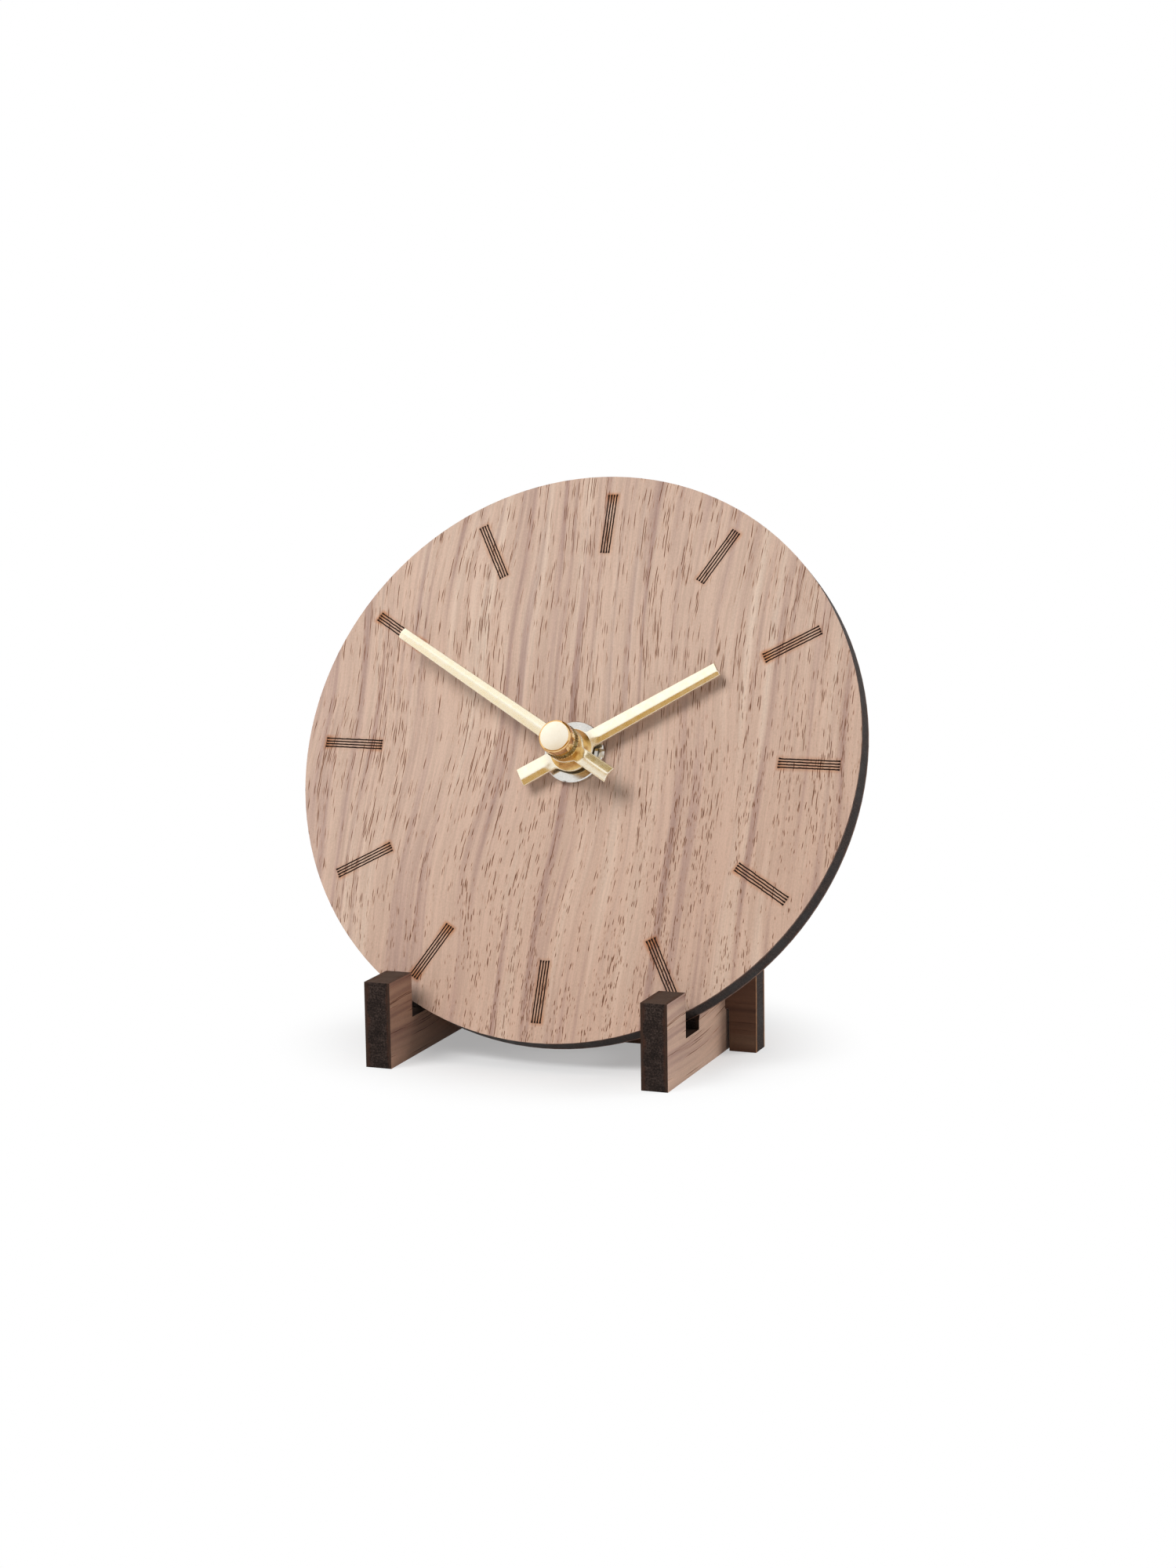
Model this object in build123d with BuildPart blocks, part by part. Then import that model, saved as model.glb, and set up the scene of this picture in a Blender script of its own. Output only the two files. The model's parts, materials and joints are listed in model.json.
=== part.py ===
from build123d import *
import os
from math import cos, pi, radians, sin, sqrt, tan

# A round veneered desk clock that leans in a slotted stand, with a quartz movement behind the dial.
# Lengths are in millimetres, angles in degrees. The ground is z = 0 and the dial faces -Y.

# Board stock of the disc and the stand: a fibre core with a wood veneer on both faces
sheet = 5.5
veneer = 0.5

# Dial disc and its engraved hour marks
dial_diameter = 120.0
lean = 25.0
mark_count = 12
mark_inset = 4.0
mark_length = 12.8
mark_lines = 4
mark_pitch = 0.58
mark_width = 0.28
mark_depth = 0.15

# Stand: two slotted feet and a cross board lapped into them
foot_gap = 53.0
foot_height = 17.4
post_depth = 10.6
slot_floor = 8.2
slot_play = 1.9
slot_upright = 1.8
seat_play = 0.1
board_setback = 24.0
board_overhang = 6.5
heel = 12.0
lap_play = 1.6
notch_play = 0.4
lap_share = 0.5

# Hole through the dial, threaded bushing, washer and slotted nut
bushing_diameter = 7.8
bushing_bore = 5.15
bushing_flange_diameter = 11.0
bushing_flange = 0.8
bushing_proud = 0.1
dial_hole_play = 0.4
washer = 0.8
washer_diameter = 18.0
nut = 1.4
nut_diameter = 12.9
nut_slot_width = 1.7
nut_slot_depth = 1.8
nut_slot_floor = 0.5
nut_edge = 0.2
fit_play = 0.04

# Hands
hour_angle = 57.65
hour_reach = 34.05
hour_tail = 12.0
hour_tip_width = 2.95
hour_tail_width = 3.95
hour_hub_diameter = 9.0
hour_blade = 0.95
hour_ridge_shift = 0.6
minute_angle = 299.55
minute_reach = 46.0
minute_tail = 11.8
minute_tip_width = 2.3
minute_tail_width = 3.4
minute_hub_diameter = 7.2
minute_blade = 0.75
boss_top_diameter = 7.0
hand_sheet = 0.5
ridge_height = 0.42
ridge_run = 2.2
neck_fillet = 1.8
hour_hub = 3.2
minute_hub = 2.7
hub_gap = 0.4
hand_gap = 0.3
ridge_start_share = 0.1
neck_low_share = 0.3

# Hand nut and cap on the end of the minute arbor
hand_nut_diameter = 7.3
hand_nut = 1.7
knurl_count = 40
knurl_depth = 0.2
cap_diameter = 7.0
cap = 2.8
cap_edge = 0.55
cap_wall = 0.9
arbor_thread_diameter = 2.8

# Tubes and arbors of the hands
hour_tube_diameter = 5.0
hour_tube_bore = 3.45
minute_arbor_diameter = 3.3
minute_tail_diameter = 1.6
tube_short = 0.2
run_play = 0.06
run_gap = 0.2

# Movement case, front plate and middle plate
plate = 1.2
case_corner = 4.0
case_wall = 1.3
case_floor = 1.2
bay_wall = 1.2
chamber_drop = 10.9
lip = 1.0
lip_play = 0.15
middle_plate = 0.9
middle_inset = 1.0
post_diameter = 3.2
post_inset = 2.6
boss_diameter = 2.4
boss_height = 1.2
bore_depth = 0.9

# Dry cell and its contacts
cell_diameter = 14.2
cell_length = 50.5
cell_nub_diameter = 5.5
cell_nub = 1.2
cell_edge = 0.6
cell_play = 0.2
contact_room = 1.45
contact = 0.4
contact_width = 4.0
contact_inset = 1.5
contact_touch = 0.1
contact_lift = 0.3
riser_gap = 1.6
contact_bump_diameter = 3.6

# Gear teeth: straight flanks, thinned so that the pairs run free
addendum_share = 0.8
dedendum_share = 1.1
tooth_share = 0.4
tip_width_share = 0.5
pinion_over = 0.15
layer_gap = 0.6

# Motion work: minute arbor pinion, minute wheel, hour wheel and setting pinion
motion_module = 0.3125
arbor_teeth = 12
minute_wheel_teeth = 36
minute_pinion_teeth = 10
hour_wheel_teeth = 40
hour_wheel = 1.0
minute_wheel = 0.9
motion_angle = 150.0
stud_diameter = 1.0
stud_shoulder_diameter = 2.2
setting_arbor_diameter = 1.8
knob_diameter = 10.0
knob = 2.4
knob_knurl_count = 30
knob_knurl_depth = 0.35

# Going train, from the stepping rotor to the centre wheel
train_module = 0.2
rotor_module = 0.16
rotor_teeth = 10
intermediate_teeth = 60
intermediate_pinion_teeth = 10
seconds_teeth = 50
seconds_pinion_teeth = 8
third_teeth = 60
third_pinion_teeth = 8
centre_teeth = 64
train_wheel = 0.7
train_gap = 0.9
train_arbor_diameter = 0.8
wheel_hub_diameter = 3.4
third_angle = 90.0
seconds_angle = 0.0
intermediate_angle = 60.0
rotor_angle = 110.0
magnet_diameter = 3.6
magnet = 2.0
magnet_drop = 0.6

# Stepping motor: stator, coil core, bobbin and winding
stator = 0.8
stator_rim = 1.0
stator_side = 0.7
stator_web = 0.65
rotor_gap = 0.4
coil_length = 20.0
coil_diameter = 5.4
coil_inset = 3.2
coil_core = 0.8
coil_core_width = 3.0
coil_clear = 0.3
bobbin_wall = 0.4
bobbin_flange = 0.8
stator_arm = 3.6

# Circuit board with its chip and quartz crystal
circuit = 1.0
circuit_width = 12.0
circuit_height = 14.0
circuit_inset = 5.0
circuit_top_inset = 0.8
chip_diameter = 4.6
chip = 1.1
chip_edge = 0.6
crystal_diameter = 2.1
crystal_length = 6.2
crystal_edge = 0.4
crystal_inset = 1.2

# How far a cut runs past the faces that it opens
overrun = 1.0

# The dial plane: origin at the middle of the dial's front face, X to the right, Y up the dial, Z to the front
lean_sin = sin(radians(lean))
lean_cos = cos(radians(lean))
dial_radius = dial_diameter / 2
foot_inner = foot_gap / 2
foot_outer = foot_inner + sheet
seat_chord = sqrt(dial_radius**2 - foot_inner**2)
dial_z = slot_floor + seat_play + seat_chord * lean_cos + sheet * lean_sin

# Levels along the dial plane's normal, from the hand cap at the front to the knob at the back
hour_low = nut + hub_gap
hour_top = hour_low + hour_hub
minute_low = hour_top + hand_gap
minute_top = minute_low + minute_hub
hand_nut_top = minute_top + hand_nut
cap_top = hand_nut_top + cap
plate_front = -sheet - washer
plate_back = plate_front - plate
flange_low = plate_back - bushing_flange
hour_wheel_top = flange_low - run_gap
hour_wheel_low = hour_wheel_top - hour_wheel
minute_wheel_top = hour_wheel_low - layer_gap
minute_wheel_low = minute_wheel_top - minute_wheel
middle_front = minute_wheel_low - layer_gap
middle_back = middle_front - middle_plate
train_step = train_wheel + train_gap
centre_low = middle_back - layer_gap - train_wheel
third_low = centre_low - train_step
seconds_low = third_low - train_step
intermediate_low = seconds_low - train_step
train_depth = plate_back - intermediate_low + layer_gap + boss_height + case_floor
case_depth = max(cell_diameter + cell_play, train_depth)
case_back = plate_back - case_depth
floor_in = case_back + case_floor
circuit_back = middle_back - circuit
knob_top = case_back - run_gap
knob_low = knob_top - knob

# Places on the dial plane: the case is as wide as the cell with its contacts
inner_half = cell_length / 2 + contact_room
case_half = inner_half + case_wall
chamber_low = -chamber_drop
bay_high = chamber_low - bay_wall
bay_low = bay_high - cell_diameter - 2 * cell_play
case_low = bay_low - case_wall
cell_up = bay_low + cell_play + cell_diameter / 2
cell_level = plate_back - cell_play / 2 - cell_diameter / 2
motion_distance = motion_module * (arbor_teeth + minute_wheel_teeth) / 2
hour_module = 2 * motion_distance / (minute_pinion_teeth + hour_wheel_teeth)


def step_from(start, distance, angle):
    """The point at a distance and a direction, in degrees from the dial's right, from another point."""
    return (start[0] + distance * cos(radians(angle)), start[1] + distance * sin(radians(angle)))


centre_place = (0, 0)
minute_wheel_place = step_from(centre_place, motion_distance, motion_angle)
setting_place = step_from(minute_wheel_place, motion_distance, motion_angle)
third_place = step_from(centre_place, train_module * (third_pinion_teeth + centre_teeth) / 2, third_angle)
seconds_place = step_from(third_place, train_module * (seconds_pinion_teeth + third_teeth) / 2, seconds_angle)
intermediate_place = step_from(
    seconds_place, train_module * (intermediate_pinion_teeth + seconds_teeth) / 2, intermediate_angle
)
rotor_place = step_from(intermediate_place, rotor_module * (rotor_teeth + intermediate_teeth) / 2, rotor_angle)
train_places = (third_place, seconds_place, intermediate_place, rotor_place)
rotor_hole_radius = magnet_diameter / 2 + rotor_gap
bar_low = rotor_place[1] - rotor_hole_radius - stator_rim
bar_high = rotor_place[1] + rotor_hole_radius + stator_web
coil_up = bar_high + coil_clear + coil_diameter / 2
inner_top = coil_up + coil_inset
case_high = inner_top + case_wall
case_middle = (case_low + case_high) / 2
circuit_left = circuit_inset - inner_half
circuit_right = circuit_left + circuit_width
circuit_top = inner_top - circuit_top_inset
circuit_low = circuit_top - circuit_height
post_ups = (chamber_low + post_inset, inner_top - post_inset)
post_places = [(side * (inner_half - post_inset), up) for side in (-1, 1) for up in post_ups]

# The stand along Y, with the whole clock centred over the origin
slot_width = sheet * lean_cos + slot_play + seat_play / lean_cos
slot_back_reach = -seat_chord * lean_sin + sheet * lean_cos + seat_play / lean_cos
front_reach = slot_width + post_depth - slot_back_reach
case_reach = case_high * lean_sin - case_back * lean_cos
knob_reach = (setting_place[1] + knob_diameter / 2) * lean_sin - knob_low * lean_cos
rim_reach = dial_radius * lean_sin + sheet * lean_cos
dial_y = (front_reach - max(case_reach, knob_reach, rim_reach)) / 2
slot_back = dial_y + slot_back_reach
slot_front = slot_back - slot_width
foot_front = slot_front - post_depth
board_front = slot_front + board_setback
board_back = board_front + sheet
foot_back = board_back + heel
slot_back_low = slot_back + slot_upright * tan(radians(lean))
slot_back_top = slot_back + (foot_height - slot_floor) * tan(radians(lean))
board_height = foot_height
lap_height = board_height * lap_share
board_half = foot_outer + board_overhang

dial_plane = Plane(origin=(0, dial_y, dial_z), x_dir=(1, 0, 0), z_dir=(0, -lean_cos, lean_sin))
dial_axis = Axis(dial_plane.origin, dial_plane.z_dir)
up_axis = Axis(dial_plane.origin, dial_plane.y_dir)


def layer(height):
    """The plane parallel to the dial at a height in front of its face."""
    return dial_plane.offset(height)


def across(place, height):
    """A plane at a place on the dial plane that faces right, with X up the dial and Y to the front."""
    point = dial_plane.from_local_coords((place[0], place[1], height))
    return Plane(origin=point, x_dir=dial_plane.y_dir, z_dir=dial_plane.x_dir)


def upward(place, height):
    """A plane at a place on the dial plane that faces up the dial."""
    point = dial_plane.from_local_coords((place[0], place[1], height))
    return Plane(origin=point, x_dir=dial_plane.x_dir, z_dir=dial_plane.y_dir)


def round_face(height, radius, place=centre_place):
    """A disc parallel to the dial."""
    with BuildSketch(layer(height)) as face:
        with Locations(place):
            Circle(radius)
    return face.sketch


def block_face(height, left, right, low, high):
    """A rectangle parallel to the dial, given by its four sides."""
    with BuildSketch(layer(height)) as face:
        with Locations(((left + right) / 2, (low + high) / 2)):
            Rectangle(right - left, high - low)
    return face.sketch


def outline_face(height, points):
    """A polygon parallel to the dial."""
    with BuildSketch(layer(height)) as face:
        with BuildLine():
            Polyline(*points, close=True)
        make_face()
    return face.sketch


def case_face(height, inset):
    """The movement case's rounded outline parallel to the dial, drawn in by an inset."""
    with BuildSketch(layer(height)) as face:
        with Locations((0, case_middle)):
            RectangleRounded(2 * (case_half - inset), case_high - case_low - 2 * inset, case_corner - inset)
    return face.sketch


def gear_points(teeth, module, place, toward, gap=False):
    """A straight-flanked gear with a tooth, or a gap, facing a direction in degrees."""
    pitch_radius = module * teeth / 2
    tip = pitch_radius + addendum_share * module
    root = pitch_radius - dedendum_share * module
    turn = 2 * pi / teeth
    tooth = pi * module * tooth_share
    half_pitch = tooth / pitch_radius / 2
    half_tip = tooth * tip_width_share / tip / 2
    half_root = half_pitch + (half_pitch - half_tip) * dedendum_share / addendum_share
    first = radians(toward) + (turn / 2 if gap else 0)
    corners = ((root, -half_root), (tip, -half_tip), (tip, half_tip), (root, half_root))
    return [
        (place[0] + radius * cos(first + i * turn + angle), place[1] + radius * sin(first + i * turn + angle))
        for i in range(teeth)
        for radius, angle in corners
    ]


def knurl_points(diameter, depth, count, place=centre_place):
    """A round outline with small pointed ridges."""
    turn = pi / count
    radii = (diameter / 2, diameter / 2 - depth)
    return [
        (place[0] + radii[i % 2] * cos(i * turn), place[1] + radii[i % 2] * sin(i * turn))
        for i in range(2 * count)
    ]


def keep(piece, label):
    """Names a finished piece and writes it to its own file."""
    piece.part.label = label
    export_step(piece.part, f"parts/{label}.step")


os.makedirs("parts", exist_ok=True)

# Feet: a front post, a slot with an upright front wall and a back wall that leans from a short upright part, and a
# notch for the board
foot_outline = [
    (foot_front, 0),
    (foot_back, 0),
    (foot_back, foot_height),
    (board_back + notch_play / 2, foot_height),
    (board_back + notch_play / 2, lap_height),
    (board_front - notch_play / 2, lap_height),
    (board_front - notch_play / 2, foot_height),
    (slot_back_top, foot_height),
    (slot_back_low, slot_floor + slot_upright),
    (slot_back_low, slot_floor),
    (slot_front, slot_floor),
    (slot_front, foot_height),
    (foot_front, foot_height),
]
core_far = sheet - veneer
foot_layers = (("inner_veneer", 0, veneer), ("core", veneer, core_far), ("outer_veneer", core_far, sheet))
for side_name, side in (("left", -1), ("right", 1)):
    for layer_name, near, far in foot_layers:
        with BuildPart() as foot:
            with BuildSketch(Plane.YZ.offset(side * (foot_inner + near))):
                with BuildLine():
                    Polyline(*foot_outline, close=True)
                make_face()
            extrude(amount=side * (far - near))
        keep(foot, f"{side_name}_foot_{layer_name}")

# Cross board: stands on the ground, with two slots from below that drop over the feet
board_layers = (("front_veneer", 0, veneer), ("core", veneer, core_far), ("back_veneer", core_far, sheet))
for layer_name, near, far in board_layers:
    with BuildPart() as cross_board:
        with BuildSketch(Plane.XZ.offset(-board_front - far)):
            with Locations((0, board_height / 2)):
                Rectangle(2 * board_half, board_height)
            with Locations((0, lap_height / 2)):
                with GridLocations(foot_gap + sheet, 0, 2, 1):
                    Rectangle(sheet + lap_play, lap_height, mode=Mode.SUBTRACT)
        extrude(amount=far - near)
    keep(cross_board, f"cross_board_{layer_name}")

# Dial disc: core and back veneer, both bored for the bushing
dial_hole_radius = (bushing_diameter + dial_hole_play) / 2
for layer_name, top, low in (("core", -veneer, -core_far), ("back_veneer", -core_far, -sheet)):
    with BuildPart() as dial:
        extrude(round_face(low, dial_radius), amount=top - low)
        extrude(round_face(low, dial_hole_radius), amount=top - low, mode=Mode.SUBTRACT)
    keep(dial, f"dial_{layer_name}")

# Front veneer, engraved with a bundle of lines at each hour
with BuildPart() as dial_front_veneer:
    extrude(round_face(-veneer, dial_radius), amount=veneer)
    extrude(round_face(-veneer, dial_hole_radius), amount=veneer, mode=Mode.SUBTRACT)
    with BuildSketch(dial_plane):
        with PolarLocations(dial_radius - mark_inset - mark_length / 2, mark_count):
            with GridLocations(0, mark_pitch, 1, mark_lines):
                Rectangle(mark_length, mark_width)
    extrude(amount=-mark_depth, mode=Mode.SUBTRACT)
keep(dial_front_veneer, "dial_front_veneer")

# Rubber washer between the movement and the dial
with BuildPart() as rubber_washer:
    extrude(round_face(plate_front, washer_diameter / 2), amount=washer)
    extrude(round_face(plate_front, dial_hole_radius), amount=washer, mode=Mode.SUBTRACT)
keep(rubber_washer, "rubber_washer")

# Threaded bushing with its flange behind the front plate
with BuildPart() as bushing:
    bushing_top = nut + bushing_proud
    extrude(round_face(flange_low, bushing_flange_diameter / 2), amount=bushing_flange)
    extrude(round_face(plate_back, bushing_diameter / 2), amount=bushing_top - plate_back)
    extrude(round_face(flange_low, bushing_bore / 2), amount=bushing_top - flange_low, mode=Mode.SUBTRACT)
keep(bushing, "threaded_bushing")

# Round nut with two spanner slots, clamping the dial to the movement
with BuildPart() as slotted_nut:
    extrude(round_face(0, nut_diameter / 2), amount=nut)
    chamfer(slotted_nut.edges().filter_by(GeomType.CIRCLE).sort_by(dial_axis)[-1], nut_edge)
    extrude(round_face(0, bushing_diameter / 2 + fit_play), amount=nut, mode=Mode.SUBTRACT)
    with BuildSketch(layer(nut_slot_floor)):
        with PolarLocations(nut_diameter / 2, 2):
            Rectangle(2 * nut_slot_depth, nut_slot_width)
    extrude(amount=nut - nut_slot_floor, mode=Mode.SUBTRACT)
keep(slotted_nut, "slotted_nut")


def make_hand(angle, reach, tail, tip_width, tail_width, ridge_shift, hub_diameter, low, blade_top, top, bore):
    """A pressed hand: a tapering blade with a tail, a ridge that fades out at the hub, and a boss drawn up from it."""
    turn = radians(angle)
    along = dial_plane.x_dir * sin(turn) + dial_plane.y_dir * cos(turn)
    side = dial_plane.x_dir * cos(turn) - dial_plane.y_dir * sin(turn)
    hub_radius = hub_diameter / 2
    boss_radius = boss_top_diameter / 2
    blade_level = dial_plane.origin + dial_plane.z_dir * (blade_top - hand_sheet)
    top_level = dial_plane.origin + dial_plane.z_dir * blade_top

    def width_at(distance):
        return tail_width + (tip_width - tail_width) * (distance + tail) / (reach + tail)

    with BuildPart() as hand:
        with BuildSketch(Plane(origin=blade_level, x_dir=side, z_dir=dial_plane.z_dir)) as blade:
            with BuildLine():
                Polyline(
                    (-tail_width / 2, -tail),
                    (tail_width / 2, -tail),
                    (tip_width / 2, reach),
                    (-tip_width / 2, reach),
                    close=True,
                )
            make_face()
            Circle(hub_radius)
            necks = [v for v in blade.vertices() if neck_low_share * hub_radius < abs(v.Y) < hub_radius]
            fillet(necks, neck_fillet)
        extrude(amount=hand_sheet)
        extrude(round_face(low, boss_radius), amount=blade_top - low)
        loft([round_face(blade_top, hub_radius), round_face(top, boss_radius)])
        extrude(round_face(low, bore / 2), amount=top - low, mode=Mode.SUBTRACT)
        for way, end in ((1, reach), (-1, tail)):
            sections = ((hub_radius, ridge_start_share), (hub_radius + ridge_run, 1), (end, 1))
            for distance, height_share in sections:
                half = width_at(way * distance) / 2
                place = top_level + along * (way * distance)
                with BuildSketch(Plane(origin=place, x_dir=-side, z_dir=along)):
                    with BuildLine():
                        Polyline((-half, 0), (half, 0), (-ridge_shift, ridge_height * height_share), close=True)
                    make_face()
            loft(ruled=True)
    return hand


hour_hand = make_hand(
    hour_angle,
    hour_reach,
    hour_tail,
    hour_tip_width,
    hour_tail_width,
    hour_ridge_shift,
    hour_hub_diameter,
    hour_low,
    hour_low + hour_blade,
    hour_top,
    hour_tube_diameter + fit_play,
)
keep(hour_hand, "hour_hand")
minute_hand = make_hand(
    minute_angle,
    minute_reach,
    minute_tail,
    minute_tip_width,
    minute_tail_width,
    0,
    minute_hub_diameter,
    minute_low,
    minute_low + minute_blade,
    minute_top,
    minute_arbor_diameter + fit_play,
)
keep(minute_hand, "minute_hand")

# Knurled nut that holds the minute hand, and the cap screwed on over the arbor's end
with BuildPart() as hand_nut_ring:
    knurl = knurl_points(hand_nut_diameter, knurl_depth, knurl_count)
    extrude(outline_face(minute_top, knurl), amount=hand_nut)
    extrude(round_face(minute_top, (arbor_thread_diameter + fit_play) / 2), amount=hand_nut, mode=Mode.SUBTRACT)
keep(hand_nut_ring, "hand_nut")

with BuildPart() as hand_cap:
    extrude(round_face(hand_nut_top, cap_diameter / 2), amount=cap)
    fillet(hand_cap.edges().filter_by(GeomType.CIRCLE).sort_by(dial_axis)[-1], cap_edge)
    cap_bore_radius = (arbor_thread_diameter + fit_play) / 2
    extrude(round_face(hand_nut_top, cap_bore_radius), amount=cap - cap_wall, mode=Mode.SUBTRACT)
keep(hand_cap, "hand_cap")

# Hour wheel with the tube that carries the hour hand
with BuildPart() as hour_wheel_tube:
    hour_gear = gear_points(hour_wheel_teeth, hour_module, centre_place, motion_angle, gap=True)
    extrude(outline_face(hour_wheel_low, hour_gear), amount=hour_wheel)
    hour_tube_length = hour_top - tube_short - hour_wheel_low
    extrude(round_face(hour_wheel_low, hour_tube_diameter / 2), amount=hour_tube_length)
    extrude(round_face(hour_wheel_low, hour_tube_bore / 2), amount=hour_tube_length, mode=Mode.SUBTRACT)
keep(hour_wheel_tube, "hour_wheel")

# Minute arbor: its pinion, the part that carries the minute hand and the friction tail for the centre wheel
with BuildPart() as minute_arbor:
    arbor_gear = gear_points(arbor_teeth, motion_module, centre_place, motion_angle)
    arbor_gear_low = minute_wheel_low - pinion_over
    arbor_gear_top = minute_wheel_top + pinion_over
    extrude(outline_face(arbor_gear_low, arbor_gear), amount=arbor_gear_top - arbor_gear_low)
    extrude(round_face(arbor_gear_top, minute_arbor_diameter / 2), amount=minute_top - arbor_gear_top)
    thread_top = cap_top - cap_wall - run_gap
    extrude(round_face(minute_top, arbor_thread_diameter / 2), amount=thread_top - minute_top)
    tail_low = centre_low - run_gap
    extrude(round_face(tail_low, minute_tail_diameter / 2), amount=arbor_gear_low - tail_low)
keep(minute_arbor, "minute_arbor")

# Minute wheel with its pinion, running on a stud
with BuildPart() as minute_wheel_pair:
    minute_gear = gear_points(minute_wheel_teeth, motion_module, minute_wheel_place, motion_angle, gap=True)
    extrude(outline_face(minute_wheel_low, minute_gear), amount=minute_wheel)
    minute_pinion = gear_points(minute_pinion_teeth, hour_module, minute_wheel_place, motion_angle + 180)
    minute_pinion_top = hour_wheel_top + pinion_over
    extrude(outline_face(minute_wheel_top, minute_pinion), amount=minute_pinion_top - minute_wheel_top)
    stud_hole = round_face(minute_wheel_low, stud_diameter / 2 + run_play, minute_wheel_place)
    extrude(stud_hole, amount=minute_pinion_top - minute_wheel_low, mode=Mode.SUBTRACT)
keep(minute_wheel_pair, "minute_wheel")

# Setting arbor with its pinion, and the knob on its end behind the case
setting_radius = setting_arbor_diameter / 2
with BuildPart() as setting_arbor:
    setting_gear = gear_points(arbor_teeth, motion_module, setting_place, motion_angle + 180)
    extrude(outline_face(arbor_gear_low, setting_gear), amount=arbor_gear_top - arbor_gear_low)
    extrude(round_face(knob_top, setting_radius, setting_place), amount=arbor_gear_low - knob_top)
keep(setting_arbor, "setting_arbor")

with BuildPart() as setting_knob:
    knob_outline = knurl_points(knob_diameter, knob_knurl_depth, knob_knurl_count, setting_place)
    extrude(outline_face(knob_low, knob_outline), amount=knob)
keep(setting_knob, "setting_knob")


def make_arbor_pair(place, wheel, wheel_low, pinion, pinion_wheel_low):
    """A wheel and a pinion on one arbor that runs from the boss on the case floor to the middle plate."""
    arbor_low = floor_in + boss_height - bore_depth + run_gap
    with BuildPart() as pair:
        if wheel:
            extrude(outline_face(wheel_low, wheel), amount=train_wheel)
        pinion_low = pinion_wheel_low - pinion_over
        extrude(outline_face(pinion_low, pinion), amount=train_wheel + 2 * pinion_over)
        extrude(round_face(arbor_low, train_arbor_diameter / 2, place), amount=middle_front - arbor_low)
    return pair


# Going train: each wheel has a gap, and each pinion a tooth, facing its partner
third_wheel = make_arbor_pair(
    third_place,
    gear_points(third_teeth, train_module, third_place, seconds_angle, gap=True),
    third_low,
    gear_points(third_pinion_teeth, train_module, third_place, third_angle + 180),
    centre_low,
)
keep(third_wheel, "third_wheel")
seconds_wheel = make_arbor_pair(
    seconds_place,
    gear_points(seconds_teeth, train_module, seconds_place, intermediate_angle, gap=True),
    seconds_low,
    gear_points(seconds_pinion_teeth, train_module, seconds_place, seconds_angle + 180),
    third_low,
)
keep(seconds_wheel, "seconds_wheel")
intermediate_wheel = make_arbor_pair(
    intermediate_place,
    gear_points(intermediate_teeth, rotor_module, intermediate_place, rotor_angle, gap=True),
    intermediate_low,
    gear_points(intermediate_pinion_teeth, train_module, intermediate_place, intermediate_angle + 180),
    seconds_low,
)
keep(intermediate_wheel, "intermediate_wheel")
rotor_pinion = make_arbor_pair(
    rotor_place,
    None,
    None,
    gear_points(rotor_teeth, rotor_module, rotor_place, rotor_angle + 180),
    intermediate_low,
)
keep(rotor_pinion, "rotor_pinion")

# Ring magnet on the rotor's arbor
with BuildPart() as rotor_magnet:
    magnet_low = third_low - magnet_drop
    extrude(round_face(magnet_low, magnet_diameter / 2, rotor_place), amount=magnet)
    magnet_bore = round_face(magnet_low, (train_arbor_diameter + fit_play) / 2, rotor_place)
    extrude(magnet_bore, amount=magnet, mode=Mode.SUBTRACT)
keep(rotor_magnet, "rotor_magnet")

# Centre wheel, held by friction on the minute arbor's tail
with BuildPart() as centre_wheel:
    centre_gear = gear_points(centre_teeth, train_module, centre_place, third_angle, gap=True)
    extrude(outline_face(centre_low, centre_gear), amount=train_wheel)
    extrude(round_face(centre_low, wheel_hub_diameter / 2), amount=train_wheel + run_gap)
    tail_hole = round_face(centre_low, minute_tail_diameter / 2 + run_play)
    extrude(tail_hole, amount=train_wheel + run_gap, mode=Mode.SUBTRACT)
keep(centre_wheel, "centre_wheel")

# Stator: a bar round the rotor with two arms up to the ends of the coil core
stator_right = inner_half - post_inset - post_diameter / 2 - stator_side
coil_left = stator_right - stator_arm - coil_clear - coil_length
stator_left = coil_left - coil_clear - stator_arm
core_high = coil_up + coil_core_width / 2
with BuildPart() as stator_plate:
    extrude(block_face(third_low, stator_left, stator_right, bar_low, bar_high), amount=stator)
    for arm_left in (stator_left, stator_right - stator_arm):
        extrude(block_face(third_low, arm_left, arm_left + stator_arm, bar_low, core_high), amount=stator)
    rotor_hole = round_face(third_low, rotor_hole_radius, rotor_place)
    extrude(rotor_hole, amount=stator, mode=Mode.SUBTRACT)
keep(stator_plate, "stator")

# Coil core: a flat strip that bridges the stator's arms
core_low_level = third_low - coil_core
core_low = coil_up - coil_core_width / 2
with BuildPart() as coil_core_strip:
    extrude(block_face(core_low_level, stator_left, stator_right, core_low, core_high), amount=coil_core)
keep(coil_core_strip, "coil_core")

# Bobbin with two flanges, and the winding between them
core_hole_width = coil_core_width + 2 * fit_play
core_hole_height = coil_core + 2 * fit_play
tube_width = core_hole_width + 2 * bobbin_wall
tube_height = core_hole_height + 2 * bobbin_wall
coil_plane = across((coil_left, coil_up), third_low - coil_core / 2)
with BuildPart() as coil_bobbin:
    with BuildSketch(coil_plane):
        Rectangle(tube_width, tube_height)
    extrude(amount=coil_length)
    with BuildSketch(coil_plane, coil_plane.offset(coil_length - bobbin_flange)):
        Circle(coil_diameter / 2)
    extrude(amount=bobbin_flange)
    with BuildSketch(coil_plane):
        Rectangle(core_hole_width, core_hole_height)
    extrude(amount=coil_length, mode=Mode.SUBTRACT)
keep(coil_bobbin, "coil_bobbin")

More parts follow.
